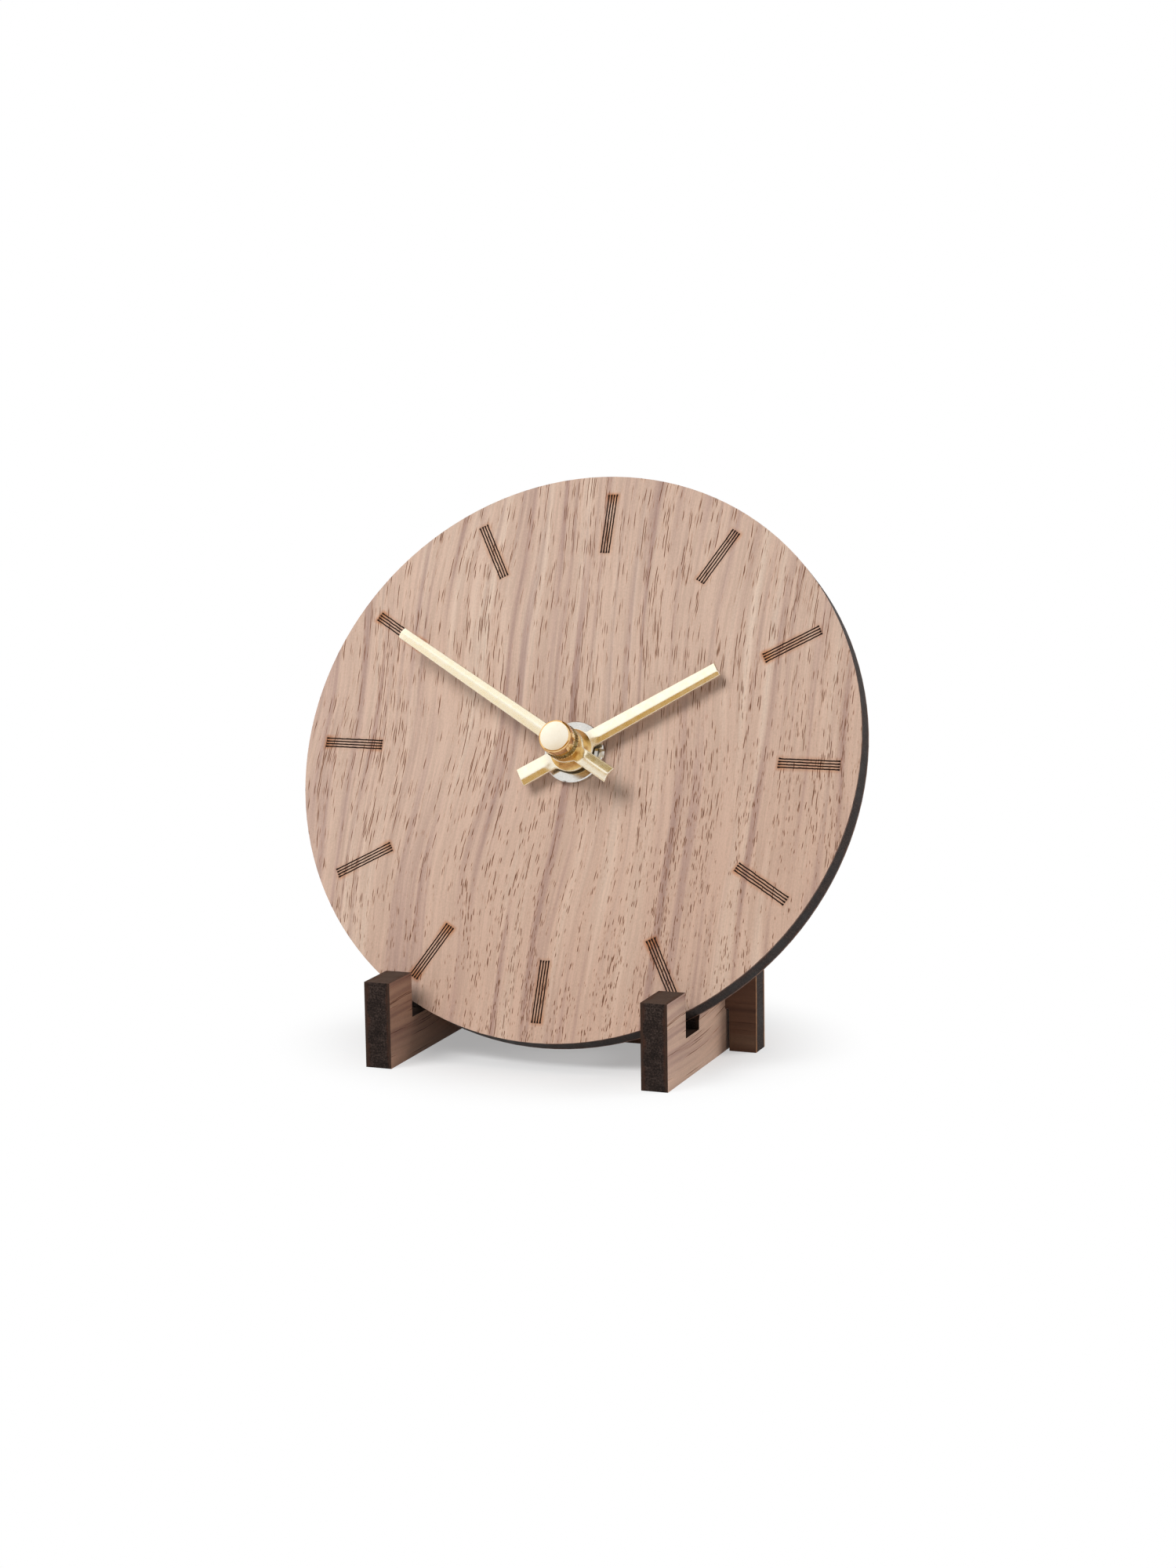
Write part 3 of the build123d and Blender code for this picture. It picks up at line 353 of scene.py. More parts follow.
def walnut_veneer(
    name, turn, origin, dial, edges, depth=1.0, shade=1.0, strand=6.0, sparse=0.0, engraved=False
):
    """Sliced walnut veneer, sanded and oiled: pale pinkish brown with greyer streaks along the grain, fine
    fibres, and open pores that read as thin dark dashes in broken strands. The laser leaves its cut edge
    brown. Depth and shade darken the tones, strand is the pores' length in millimetres, and sparse thins
    them out."""
    material, put = new_material(name)
    tones = (dial.veneer_pale, dial.veneer_mid, dial.veneer_dusky, dial.vein, dial.pore_rim, dial.pore)
    pale, mid, dusky, vein, rim_tone, pore_tone = (
        (*(shade * c**depth for c in tone[:3]), 1.0) for tone in tones
    )
    place = board_place(put, turn, origin)
    # Growth lines wander sideways by millimetres over the board, and shake by a hair's breadth along a pore
    drift = patches(put, place, (34.0, 62.0, 34.0), 1.0, 1.7, "Color")
    wander = put("VectorMath", [drift, (9.0 * MM, 0.0, 0.0), place], operation="MULTIPLY_ADD")
    shake = patches(put, place, (1.2, 2.4, 3.0), 1.0, 5.9, "Color")
    hair = put("VectorMath", [shake, (0.22 * MM, 0.0, 0.0), wander], operation="MULTIPLY_ADD")
    # Streaks a few millimetres wide over broad bands
    streak = patches(put, wander, (2.4, 95.0, 12.0), 3.0, 4.1)
    cloud = patches(put, wander, (17.0, 120.0, 20.0), 1.0, 8.3)
    tone = put("Mix", {0: 0.4, 2: streak, 3: cloud})
    colour = put("ValToRGB", [tone], stops=[(0.36, dusky), (0.46, mid), (0.54, mid), (0.66, pale)])
    # Soft dusky veins: the peaks of a narrow stretched pattern
    narrow = patches(put, wander, (2.0, 80.0, 9.0), 1.0, 12.6)
    veins = put("MapRange", [narrow, 0.5, 0.78, 0.0, 0.75], **SMOOTH)
    colour = put("Mix", {0: veins, 6: colour, 7: vein}, **BLEND)
    # Fibres about a fifth of a millimetre wide, in bundles, and a fine mottle from sanding
    fibre = patches(put, hair, (0.2, 8.0, 3.0), 2.0, 2.9)
    bundle = patches(put, hair, (0.7, 30.0, 6.0), 1.0, 17.3)
    mottle = patches(put, place, (0.3, 0.45, 0.3), 1.0, 9.7)
    grain = put("Math", [fibre, bundle], operation="ADD")
    grain = put("Math", [mottle, 0.7, grain], operation="MULTIPLY_ADD")
    fibres = put("MapRange", [grain, 1.1, 1.6, 0.84, 1.0])
    colour = put("VectorMath", {0: colour, 3: fibres}, operation="SCALE")
    # Pores gather in strands, in bands and along the veins
    strands = patches(put, wander, (1.6, 3.0 * strand, 9.0), 1.0, 6.4)
    bands = patches(put, wander, (6.0, 55.0, 12.0), 1.0, 14.2)
    thick = put("MapRange", [strands, 0.36, 0.6, -0.07, 0.04], **SMOOTH)
    broad = put("MapRange", [bands, 0.36, 0.6, -0.03 - sparse, 0.02 - sparse], **SMOOTH)
    crowd = put("Math", [thick, broad], operation="ADD")
    crowd = put("Math", [veins, 0.03, crowd], operation="MULTIPLY_ADD")
    lengthwise = put("SeparateXYZ", [place], pick=1)
    along = put("Math", [lengthwise, 1 / (strand * MM)], operation="MULTIPLY")
    if engraved:
        # Towards the lower right the leaf cuts across the growth and the pores get short. The wood there is
        # also painted darker, a painted shade for the light falling off away from the upper left
        downhill, start, run, shortening = (0.5 / MM, -1.0 / MM, 0.0), 8.0, 50.0, -0.0024
        slant = put("VectorMath", [place, downhill], pick="Value", operation="DOT_PRODUCT")
        slope = put("Math", [put("Math", [slant, start], operation="ADD"), 0.0], operation="MAXIMUM")
        falloff_share = put("MapRange", [slope, 0.0, run])
        falloff_mix = {0: falloff_share, 6: colour, 7: dial.veneer_tint}
        colour = put("Mix", falloff_mix, blend_type="MULTIPLY", **BLEND)
        bend = put("Math", [slope, 2.0], operation="POWER")
        along = put("Math", [bend, shortening, along], operation="MULTIPLY_ADD")
    fine, coarse = (
        pore_rows(put, hair, along, crowd, pitch * MM, seed) for pitch, seed in ((0.34, 3.0), (0.53, 8.0))
    )
    rest = put("Math", [fine, coarse], operation="MINIMUM")
    rim = put("MapRange", [rest, 0.05 * MM, -0.02 * MM, 0.0, 0.8], **SMOOTH)
    pore = put("MapRange", [rest, 0.01 * MM, -0.055 * MM], **SMOOTH)
    colour = put("Mix", {0: rim, 6: colour, 7: rim_tone}, **BLEND)
    colour = put("Mix", {0: pore, 6: colour, 7: pore_tone}, **BLEND)
    height = put("Math", [put("Math", [fibre, 0.3], operation="MULTIPLY"), pore], operation="SUBTRACT")
    if engraved:
        char, scorch = burnt_marks(put, place, dial)
        browned = {0: scorch, 6: colour, 7: dial.scorch}
        colour = put("Mix", browned, blend_type="MULTIPLY", **BLEND)
        colour = put("Mix", {0: char, 6: colour, 7: dial.char}, **BLEND)
    # The cut edge, told from the face by its normal, is browned
    normal = put("Mapping", {"Vector": put("TexCoord", pick="Normal"), "Rotation": turn})
    facing = put("Math", [put("SeparateXYZ", [normal], pick=2)], operation="ABSOLUTE")
    cut = put("MapRange", [facing, 0.75, 0.6])
    spots = patches(put, place, (1.2, 1.2, 4.0), 2.0, 5.0)
    brown = put("ValToRGB", [spots], stops=[(0.3, edges[0]), (0.7, edges[1])])
    surface = {
        "Base Color": put("Mix", {0: cut, 6: colour, 7: brown}, **BLEND),
        "Roughness": put("MapRange", [fibre, 0.2, 0.8, 0.5, 0.66]),
        "Specular IOR Level": 0.22,
        "Normal": put("Bump", {"Height": height, "Strength": 0.5, "Distance": 0.08 * MM}),
    }
    put("OutputMaterial", [put("BsdfPrincipled", surface)])
    return material


def charred_fibre(name, turn, origin, stand):
    """Fibreboard cut by a laser: a sooty brown-black edge with fine lines along the beam, cloudy where smoke
    settled, speckled with fibres, and red-brown beside the veneers. Faces that look up get a painted sheen:
    a paler tone that stands in for the light from above."""
    material, put = new_material(name)
    place = board_place(put, turn, origin)
    lines = patches(put, place, (0.42, 0.42, 9.0), 2.0, 1.3)
    cloud = patches(put, place, (3.0, 3.0, 3.0), 3.0, 7.7)
    speck = patches(put, place, (0.3, 0.3, 0.3), 2.0, 3.1)
    tone = put("Math", [speck, 0.5], operation="MULTIPLY")
    tone = put("Math", [lines, 0.15, tone], operation="MULTIPLY_ADD")
    tone = put("Math", [cloud, 0.35, tone], operation="MULTIPLY_ADD")
    stops = [(0.38, stand.char_dark), (0.5, stand.char_mid), (0.64, stand.char_pale)]
    colour = put("ValToRGB", [tone], stops=stops)
    # Painted sheen: faces that look up are mixed towards a paler tone, as the light from above would give
    # them
    normal = put("TexCoord", pick="Normal")
    upward = put("MapRange", [put("SeparateXYZ", [normal], pick=2), 0.5, 0.95, 0.0, 0.8])
    colour = put("Mix", {0: upward, 6: colour, 7: stand.ash}, **BLEND)
    depth = put("Math", [put("SeparateXYZ", [place], pick=2)], operation="ABSOLUTE")
    smoke = put("Math", [cloud, 0.4 * SHEET, depth], operation="MULTIPLY_ADD")
    warm = put("MapRange", [smoke, 0.5 * SHEET, 0.68 * SHEET, 0.0, 0.8], **SMOOTH)
    height = put("Math", [speck, 0.6, lines], operation="MULTIPLY_ADD")
    surface = {
        "Base Color": put("Mix", {0: warm, 6: colour, 7: stand.char_warm}, **BLEND),
        "Roughness": put("MapRange", [cloud, 0.3, 0.7, 0.55, 0.75]),
        "Specular IOR Level": 0.1,
        "Normal": put("Bump", {"Height": height, "Strength": 0.4, "Distance": 0.1 * MM}),
    }
    put("OutputMaterial", [put("BsdfPrincipled", surface)])
    return material


def fine_finish(name, low, high, grain, rough, relief, inputs):
    """Two close tones over a fine pattern, which also gives the roughness and a slight relief. Grain is the
    size of the pattern and relief its height, both in millimetres."""
    material, put = new_material(name)
    low, high = (linear(tone) if isinstance(tone, str) else tone for tone in (low, high))
    place = put("TexCoord", pick="Object")
    sizes = np.broadcast_to(grain, 3)
    fine = patches(put, place, sizes, 3.0, 2.3)
    broad = patches(put, place, 12 * sizes, 2.0, 9.1)
    tone = put("Mix", {0: 0.5, 2: fine, 3: broad})
    surface = {
        "Base Color": put("ValToRGB", [tone], stops=[(0.35, low), (0.65, high)]),
        "Roughness": put("MapRange", [tone, 0.3, 0.7, *rough]),
        **inputs,
    }
    if relief:
        surface["Normal"] = put("Bump", {"Height": fine, "Strength": 0.35, "Distance": relief * MM})
    put("OutputMaterial", [put("BsdfPrincipled", surface)])
    return material


def dress(material, *nodes):
    """Gives CAD nodes a finish in place of their plain one."""
    for node in nodes:
        for slot in frame["nodes"][node].material_slots:
            slot.material = material


# Surfaces


def to_frame(points):
    """Places given in the dial plane, as right, up and height in front, in the part's frame."""
    return DIAL_CENTRE + points @ np.array([DIAL_RIGHT, DIAL_UP, DIAL_FRONT])


def grid_quads(rows, columns, start=0, wrap=False):
    """The corner numbers of a grid's four-sided faces, row by row. A wrapped grid joins its last column to
    its first."""
    across = columns if wrap else columns - 1
    row, column = np.meshgrid(np.arange(rows - 1), np.arange(across), indexing="ij")
    after = (column + 1) % columns
    low, high = row * columns, (row + 1) * columns
    return start + np.stack([low + column, low + after, high + after, high + column], axis=-1).reshape(-1, 4)


def make_piece(name, points, faces, body, materials, sharp=35.0):
    """A mesh piece in the part's frame: doubles merged, faces outwards and smooth shading up to an angle."""
    mesh = bpy.data.meshes.new(name)
    mesh.from_pydata(points.tolist(), [], [tuple(face) for face in faces])
    shell = bmesh.new()
    shell.from_mesh(mesh)
    bmesh.ops.remove_doubles(shell, verts=shell.verts, dist=1e-3 * MM)
    bmesh.ops.dissolve_degenerate(shell, edges=shell.edges, dist=1e-4 * MM)
    bmesh.ops.recalc_face_normals(shell, faces=shell.faces)
    shell.to_mesh(mesh)
    shell.free()
    mesh.shade_smooth()
    mesh.set_sharp_from_angle(angle=radians(sharp))
    for material in materials:
        mesh.materials.append(material)
    piece = bpy.data.objects.new(name, mesh)
    bpy.context.scene.collection.objects.link(piece)
    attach(piece, body)
    return piece


def arc(middle, radius, start, end, count=6):
    """Points of a circular arc from one angle in degrees to another."""
    angles = np.radians(np.linspace(start, end, count))
    return np.stack([middle[0] + radius * np.cos(angles), middle[1] + radius * np.sin(angles)], axis=1)


def lathe(profile, columns=96, ripple=None):
    """A profile of radius and height turned about the dial's normal. A ripple adds to the radius, row by
    angle."""
    angles = np.linspace(0, 2 * pi, columns, endpoint=False)
    radius = np.repeat(profile[:, :1], columns, axis=1)
    if ripple is not None:
        radius = radius + ripple(angles, profile)
    height = np.repeat(profile[:, 1:], columns, axis=1)
    points = np.stack([radius * np.cos(angles), radius * np.sin(angles), height], axis=-1)
    return points.reshape(-1, 3), grid_quads(len(profile), columns, wrap=True)


def hand_shell(sizes, hand):
    """A hand's blade as two grids, one for each side. Stations run along the blade. At each one the section
    runs from the middle, or the bore, over the folded top to the rounded edge and back below. Half-width is
    the smooth maximum of the taper and the hub's circle, and height is a roof with a soft crease, which lies
    off the middle by the crest and fades out towards the hub. The tail's roof may be steeper than the
    blade's."""
    reach, tail, bore, blade = hand.reach, hand.tail, hand.bore, hand.blade
    neck, hub_radius = sizes.neck, hand.hub / 2
    edge, crease, under_share, reach_of_bore = 0.16 * MM, 0.14, 0.8, 1.0001 * bore
    near, fade_start, fade_run = hub_radius + 2.2 * neck, 0.9 * hub_radius, 0.6 * hub_radius
    swing = np.linspace(0, pi / 2, 5)
    stations = np.concatenate(
        [
            -tail + edge * (1 - np.cos(swing))[:-1],
            np.linspace(-tail + edge, -near, 10)[:-1],
            np.linspace(-near, -bore, 28)[:-1],
            -bore * np.cos(np.linspace(0, pi, 25)),
            np.linspace(bore, near, 28)[1:],
            np.linspace(near, reach - edge, 26)[1:],
            reach - edge * (1 - np.sin(swing))[1:],
        ]
    )[:, None]
    over = np.maximum(np.abs(stations - (reach - tail) / 2) - (reach + tail) / 2 + edge, 0)
    ease = edge - np.sqrt(np.maximum(edge**2 - over**2, 0))
    taper = (hand.end + (hand.tip - hand.end) * (stations + tail) / (reach + tail)) / 2
    circle = np.sqrt(np.maximum(hub_radius**2 - stations**2, 0))
    blend = np.maximum(neck - np.abs(taper - circle), 0) ** 2 / (4 * neck)
    half = np.maximum(taper, circle) + blend - ease
    inner = np.sqrt(np.maximum(bore**2 - stations**2, 0))
    away = np.clip((np.abs(stations) - fade_start) / fade_run, 0, 1)
    fade = away**2 * (3 - 2 * away)
    fold = hand.crest * fade
    ridge = sizes.ridge * fade * np.where(stations < 0, hand.steep, 1.0)

    def roof(x):
        ratio = np.where(x > fold, (x - fold) / (taper - fold), (fold - x) / (taper + fold))
        slope = np.hypot(1, crease) - np.hypot(np.minimum(ratio, 1), crease)
        return ridge * slope / (np.hypot(1, crease) - crease)

    flat = inner + (half - edge - inner) * np.linspace(0, 1, 17)[None, :]
    corner = swing[None, 1:]
    x = np.concatenate([flat, half - edge + edge * np.sin(corner), half, flat[:, ::-1]], axis=1)
    y = np.repeat(stations, x.shape[1], axis=1)
    rows, columns = x.shape
    in_bore = np.flatnonzero(np.abs(stations[:, 0]) <= reach_of_bore)[:-1]
    points, faces = [], []
    for way in (1, -1):
        rounded = roof(way * (half - edge)) - edge * (1 - np.cos(corner))
        upper = blade - ease + np.concatenate([roof(way * flat), rounded], axis=1)
        under = np.concatenate([roof(way * half), roof(way * flat[:, ::-1])], axis=1)
        z = np.concatenate([upper, blade - sizes.sheet + under_share * under], axis=1)
        start = len(points) * rows * columns
        last = start + (rows - 1) * columns
        points.append(np.stack([way * x, y, z], axis=-1).reshape(-1, 3))
        faces += grid_quads(rows, columns, start).tolist()
        low = start + in_bore * columns
        wall = [low, low + columns - 1, low + 2 * columns - 1, low + columns]
        faces += np.stack(wall, axis=1).tolist()
        faces += [list(range(first, first + columns)) for first in (start, last)]
    turn_cos, turn_sin = cos(hand.angle), sin(hand.angle)
    turn = np.array([[turn_cos, -turn_sin, 0], [turn_sin, turn_cos, 0], [0, 0, 1]])
    return np.concatenate(points) @ turn, faces


def second_finish(piece, test):
    """Gives the piece's second finish to the faces whose height over the dial and distance from its middle
    pass a test."""
    middles = np.empty(len(piece.data.polygons) * 3)
    piece.data.polygons.foreach_get("center", middles)
    middles = middles.reshape(-1, 3) - DIAL_CENTRE
    heights = middles @ DIAL_FRONT
    radii = np.hypot(middles @ DIAL_RIGHT, middles @ DIAL_UP)
    piece.data.polygons.foreach_set("material_index", test(heights, radii).astype(np.int32))


def make_hand(name, node, body, sizes, kind, materials):
    """A pressed hand: the folded blade, a collar below it that grips its tube, and a boss drawn up from it,
    whose radius falls from the hub's to its own with the square of the way up."""
    parts = [part for part in sizes.__annotations__ if part.startswith(f"{kind}_")]
    hand = SimpleNamespace(**{part.removeprefix(f"{kind}_"): getattr(sizes, part) for part in parts})
    points, faces = hand_shell(sizes, hand)
    bore, low, blade, top = hand.bore, hand.low, hand.blade, hand.top
    radius, lip, inset = sizes.boss / 2, 0.2 * MM, 0.1 * MM
    base = hand.hub / 2 - inset
    inside = blade - sizes.sheet / 2
    climb = np.linspace(0, 1, 9)
    flare_radius = radius + (base - radius) * (1 - climb) ** 2
    flare = np.stack([flare_radius, blade + (top - lip - blade) * climb], axis=1)
    foot = arc((radius - lip, low + lip), lip, -90, 0)
    crown = arc((radius - lip, top - lip), lip, 0, 90)
    collar = [[bore, inside], [bore, low], *foot, [radius, inside], [bore, inside]]
    boss = [[bore, inside], [base, inside], *flare, *crown, [bore, top], [bore, inside]]
    for profile in (collar, boss):
        ring, ring_faces = lathe(np.array(profile))
        faces = faces + (ring_faces + len(points)).tolist()
        points = np.concatenate([points, ring])
    piece = make_piece(name, to_frame(points), faces, body, materials)
    under, over = blade - 1.1 * sizes.sheet, blade + 0.03 * MM
    second_finish(piece, lambda heights, radii: (heights < under) | (heights > over) & (radii < base))
    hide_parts(node)


class CLOCK_OT_dial(bpy.types.Operator):
    """Veneer with burnt hour marks and a charred edge for the disc"""

    bl_idname = "clock.dial"
    bl_label = "Dress the dial"

    def execute(self, context):
        dial, stand = context.scene.clock.dial, context.scene.clock.stand
        edges = (dial.edge_dark, dial.edge_pale)
        front = walnut_veneer("walnut_veneer_dial", DIAL_TURN, DIAL_CENTRE, dial, edges, engraved=True)
        dress(front, "dial_front_veneer")
        # The back shows another stretch of the leaf
        leaf_shift = 0.04
        leaf = DIAL_CENTRE + leaf_shift * DIAL_RIGHT
        dress(walnut_veneer("walnut_veneer_back", DIAL_TURN, leaf, dial, edges), "dial_back_veneer")
        middle = DIAL_CENTRE - SHEET / 2 * DIAL_FRONT
        dress(charred_fibre("charred_fibre_dial", DIAL_TURN, middle, stand), "dial_core")
        return {"FINISHED"}


class CLOCK_OT_stand(bpy.types.Operator):
    """Veneer and charred edges for the feet and the cross board"""

    bl_idname = "clock.stand"
    bl_label = "Dress the stand"

    def execute(self, context):
        dial, stand = context.scene.clock.dial, context.scene.clock.stand
        # Each has another leaf of veneer, and the laser left the board's edge paler. The left foot's leaf is
        # painted darker, a painted shade for its inner side under the disc. The board's is the darkest,
        # partly a darker wood and partly a painted shade for its front under the disc
        singed, leaf_shift = 0.6, 0.1
        tones = (stand.foot_edge, stand.board_edge)
        foot, board = ((*(singed * c for c in tone[:3]), 1.0) for tone in tones)
        boards = (
            ("left_foot", FOOT_TURN, (foot, stand.foot_edge), 1.6, 0.78),
            ("right_foot", FOOT_TURN, (foot, stand.foot_edge), 1.2, 1.0),
            ("cross_board", BOARD_TURN, (board, stand.board_edge), 2.1, 0.34),
        )
        for name, turn, edges, depth, shade in boards:
            middle = np.mean([tuple(corner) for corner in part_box(f"{name}_core")], axis=0)
            skins = [node for node in frame["nodes"] if node.startswith(name) and node.endswith("veneer")]
            leaf = middle + leaf_shift * DIAL_RIGHT
            veneer = walnut_veneer(
                f"walnut_veneer_{name}", turn, leaf, dial, edges, depth, shade, strand=20.0, sparse=0.06
            )
            dress(veneer, *skins)
            dress(charred_fibre(f"charred_fibre_{name}", turn, middle, stand), f"{name}_core")
        return {"FINISHED"}


class CLOCK_OT_hands(bpy.types.Operator):
    """Folded brass hands with drawn collars"""

    bl_idname = "clock.hands"
    bl_label = "Make the hands"

    def execute(self, context):
        hands = context.scene.clock.hands
        # Pale lacquered brass with a blasted skin: soft wide highlights and a fine sandy sparkle
        brass = fine_finish("satin_brass", "#F3EAD2", hands.brass, 0.1, (0.23, 0.32), 0.009, METAL)
        # The drawn collars and bosses keep a deeper gold under a dull lacquer
        drawn = fine_finish("drawn_brass", "#D8AC5E", "#F0D296", 0.3, (0.28, 0.36), 0.0, METAL)
        make_hand("hour_hand_pressed", "hour_hand", "hour_set", hands, "hour", [brass, drawn])
        make_hand("minute_hand_pressed", "minute_hand", "minute_set", hands, "minute", [brass, drawn])
        return {"FINISHED"}


class CLOCK_OT_cap(bpy.types.Operator):
    """Knurled hand nut and the turned cap on the end of the arbor"""

    bl_idname = "clock.cap"
    bl_label = "Make the cap and hand nut"

    def execute(self, context):
        hands = context.scene.clock.hands
        # Turned and polished brass under gold lacquer: sharp reflections that the wood tints copper
        gold = fine_finish("polished_brass", "#DDB47C", hands.gold, 0.5, (0.06, 0.12), 0.0, METAL)
        # The same brass with a faced end: a pale satin without sharp reflections
        face = fine_finish("faced_brass", "#F8F0DF", hands.cream, 0.2, (0.36, 0.46), 0.006, METAL)
        # Knurled brass painted darker: a painted dark reflection, as its V grooves mirror dark surroundings
        knurled = fine_finish("knurled_brass", "#6E5C34", "#A8935C", 0.12, (0.16, 0.26), 0.0, METAL)
        self.make_cap(hands, [gold, face])
        self.make_nut(hands, [knurled])
        return {"FINISHED"}

    def make_cap(self, hands, materials):
        """A turned cap, hollow for the arbor, whose bevel is a part of an ellipse."""
        thread, radius, face_radius = hands.thread, hands.cap / 2, hands.cap / 2 - hands.cap_bevel
        base, crown, shoulder = hands.nut_top, hands.cap_top, hands.cap_top - hands.cap_drop
        wall, foot_step, foot_round, land = 0.9 * MM, 0.45 * MM, 0.12 * MM, 0.04 * MM
        rim_width, rim_drop = 0.03 * MM, 0.012 * MM
        swing = np.radians(np.linspace(10, 66, 8))
        bevel_radius = face_radius + hands.cap_bevel * np.cos(swing)
        bevel = np.stack([bevel_radius, shoulder + hands.cap_drop * np.sin(swing)], axis=1)
        foot = arc((radius - foot_round, base + foot_round), foot_round, -90, 0, 4)
        hollow = [[0.0, crown - wall], [thread, crown - wall], [thread, base], [radius - foot_step, base]]
        side = [[radius, shoulder - land], [radius, shoulder]]
        rim = [[face_radius + rim_width, crown - rim_drop], [face_radius, crown], [0.0, crown]]
        points, faces = lathe(np.concatenate([hollow, foot, side, bevel, rim]), 128)
        places = to_frame(points)
        cap = make_piece("hand_cap_turned", places, faces, "minute_set", materials, 40.0)
        second_finish(cap, lambda heights, radii: heights > crown - rim_drop / 4)
        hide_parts("hand_cap")

    def make_nut(self, hands, materials):
        """A ring with chamfered edges and V grooves: a triangle wave round the two rows of the rim."""
        low, top, thread, outer = hands.minute_top, hands.nut_top, hands.thread, hands.hand_nut / 2
        groove, chamfer = 0.2 * MM, 0.22 * MM
        ring = np.array(
            [
                [thread, low],
                [outer - chamfer, low],
                [outer, low + chamfer],
                [outer, top - chamfer],
                [outer - chamfer, top],
                [thread, top],
                [thread, low],
            ]
        )

        def knurl(angles, profile):
            wave = np.abs((angles * hands.knurls / pi) % 2 - 1)[None, :]
            return -groove * wave * (profile[:, :1] > outer - chamfer / 2)

        points, faces = lathe(ring, hands.knurls * 6, knurl)
        places = to_frame(points)
        nut = make_piece("hand_nut_knurled", places, faces, "minute_set", materials, 25.0)
        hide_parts("hand_nut")


class CLOCK_OT_fixing(bpy.types.Operator):
    """Slotted nut, bushing, arbor and washer that clamp the movement to the dial"""

    bl_idname = "clock.fixing"
    bl_label = "Dress the fixing"

    def execute(self, context):
        # Bright nickel plate on pressed steel: clear, slightly soft reflections
        nickel = fine_finish("nickel_plate", "#D3D0CA", "#E6E4DF", 0.3, (0.12, 0.22), 0.004, METAL)
        dress(nickel, "slotted_nut")
        # Plain turned brass, duller than the lacquered pieces
        brass = fine_finish("turned_brass", "#B8944F", "#CFAF6E", 0.15, (0.14, 0.24), 0.005, METAL)
        dress(brass, "threaded_bushing", "minute_arbor")
        # Cut rubber: dull black with a fine bloom
        dull = {"Specular IOR Level": 0.3}
        rubber = fine_finish("cut_rubber", "#131313", "#201F1F", 0.2, (0.7, 0.85), 0.02, dull)
        dress(rubber, "rubber_washer")
        return {"FINISHED"}


class CLOCK_OT_movement(bpy.types.Operator):
    """Moulded case, setting knob, cell and contacts behind the dial"""

    bl_idname = "clock.movement"
    bl_label = "Dress the movement"

    def execute(self, context):
        plastic = {"IOR": 1.53}
        # Black ABS from a spark-eroded mould: an even fine grain with a dull sheen
        case = fine_finish("moulded_black_abs", "#151618", "#202124", 0.25, (0.46, 0.6), 0.04, plastic)
        dress(case, "rear_case", "front_plate")
        # The knob comes from a smoother mould
        knob = fine_finish("moulded_grey_abs", "#2B2C2F", "#38393C", 0.2, (0.36, 0.48), 0.015, plastic)
        dress(knob, "setting_knob")
        # Film round a dry cell: an even green-grey under clear lacquer
        half_metal = {"Metallic": 0.4}
        jacket = fine_finish("lacquered_jacket", "#2E4A44", "#375850", 0.5, (0.2, 0.28), 0.0, half_metal)
        dress(jacket, "dry_cell")
        # Nickelled spring strip: bright, with rolling marks along it
        rolled = (0.1, 0.1, 1.5)
        spring = fine_finish("nickelled_spring", "#A9A7A2", "#C8C6C1", rolled, (0.18, 0.3), 0.005, METAL)
        dress(spring, "negative_contact", "positive_contact")
        return {"FINISHED"}


class CLOCK_OT_works(bpy.types.Operator):
    """Wheels, motor and circuit inside the case"""

    bl_idname = "clock.works"
    bl_label = "Dress the works"

    def execute(self, context):
        # Natural acetal: milky white, slippery and slightly see-through at thin edges
        acetal = fine_finish("moulded_acetal", "#DAD7CC", "#EAE8DF", 0.3, (0.3, 0.4), 0.006, {"IOR": 1.48})
        wheels = [node for node in frame["nodes"] if node.endswith("_wheel")]
        dress(acetal, "middle_plate", "setting_arbor", "rotor_pinion", "coil_bobbin", *wheels)
        # Stamped and annealed iron: grey with rolling marks
        rolled = (0.1, 1.4, 0.1)
        iron = fine_finish("stamped_iron", "#77787A", "#949597", rolled, (0.3, 0.42), 0.008, METAL)
        dress(iron, "stator", "coil_core")
        # Bonded magnet: dark grey and slightly grainy
        bonded = {"Metallic": 0.6}
        magnet = fine_finish("bonded_magnet", "#2A2B2D", "#3B3C3F", 0.1, (0.4, 0.55), 0.01, bonded)
        dress(magnet, "rotor_magnet")
        # Enamelled wire of a tenth of a millimetre, drawn three times as coarse so that it shows
        wound = (0.3, 4.0, 4.0)
        copper = fine_finish("enamelled_copper", "#8A3F22", "#C1693F", wound, (0.22, 0.34), 0.05, METAL)
        dress(copper, "coil_winding")
        # Glass laminate under solder mask: deep green with the weave just showing
        resin = {"IOR": 1.55}
        laminate = fine_finish("masked_laminate", "#1D4A32", "#286141", 0.6, (0.3, 0.42), 0.01, resin)
        dress(laminate, "circuit_board")
        # Potting resin: a glossy black drop
        drop = fine_finish("potting_resin", "#0E0E0F", "#18181A", 0.8, (0.12, 0.22), 0.0, resin)
        dress(drop, "chip")
        # Drawn steel can, tinned
        can = fine_finish("tinned_can", "#B5B6B8", "#CFD0D2", 0.15, (0.2, 0.3), 0.003, METAL)
        dress(can, "quartz_crystal")
        return {"FINISHED"}


def flat_panel(name, corners, material):
    """A four-cornered panel of the studio, which isn't part of the clock."""
    mesh = bpy.data.meshes.new(name)
    mesh.from_pydata(corners, [], [(0, 1, 2, 3)])
    mesh.materials.append(material)
    panel = bpy.data.objects.new(name, mesh)
    bpy.context.scene.collection.objects.link(panel)
    return panel


def seen_rays(put):
    """Rays that see a surface for what it is: from the camera, and through gloss or glass."""
    camera = put("LightPath", pick="Is Camera Ray")
    rays = camera.node.outputs
    bent = put("Math", [rays["Is Glossy Ray"], rays["Is Transmission Ray"]], operation="MAXIMUM")
    return put("Math", [camera, bent], operation="MAXIMUM")


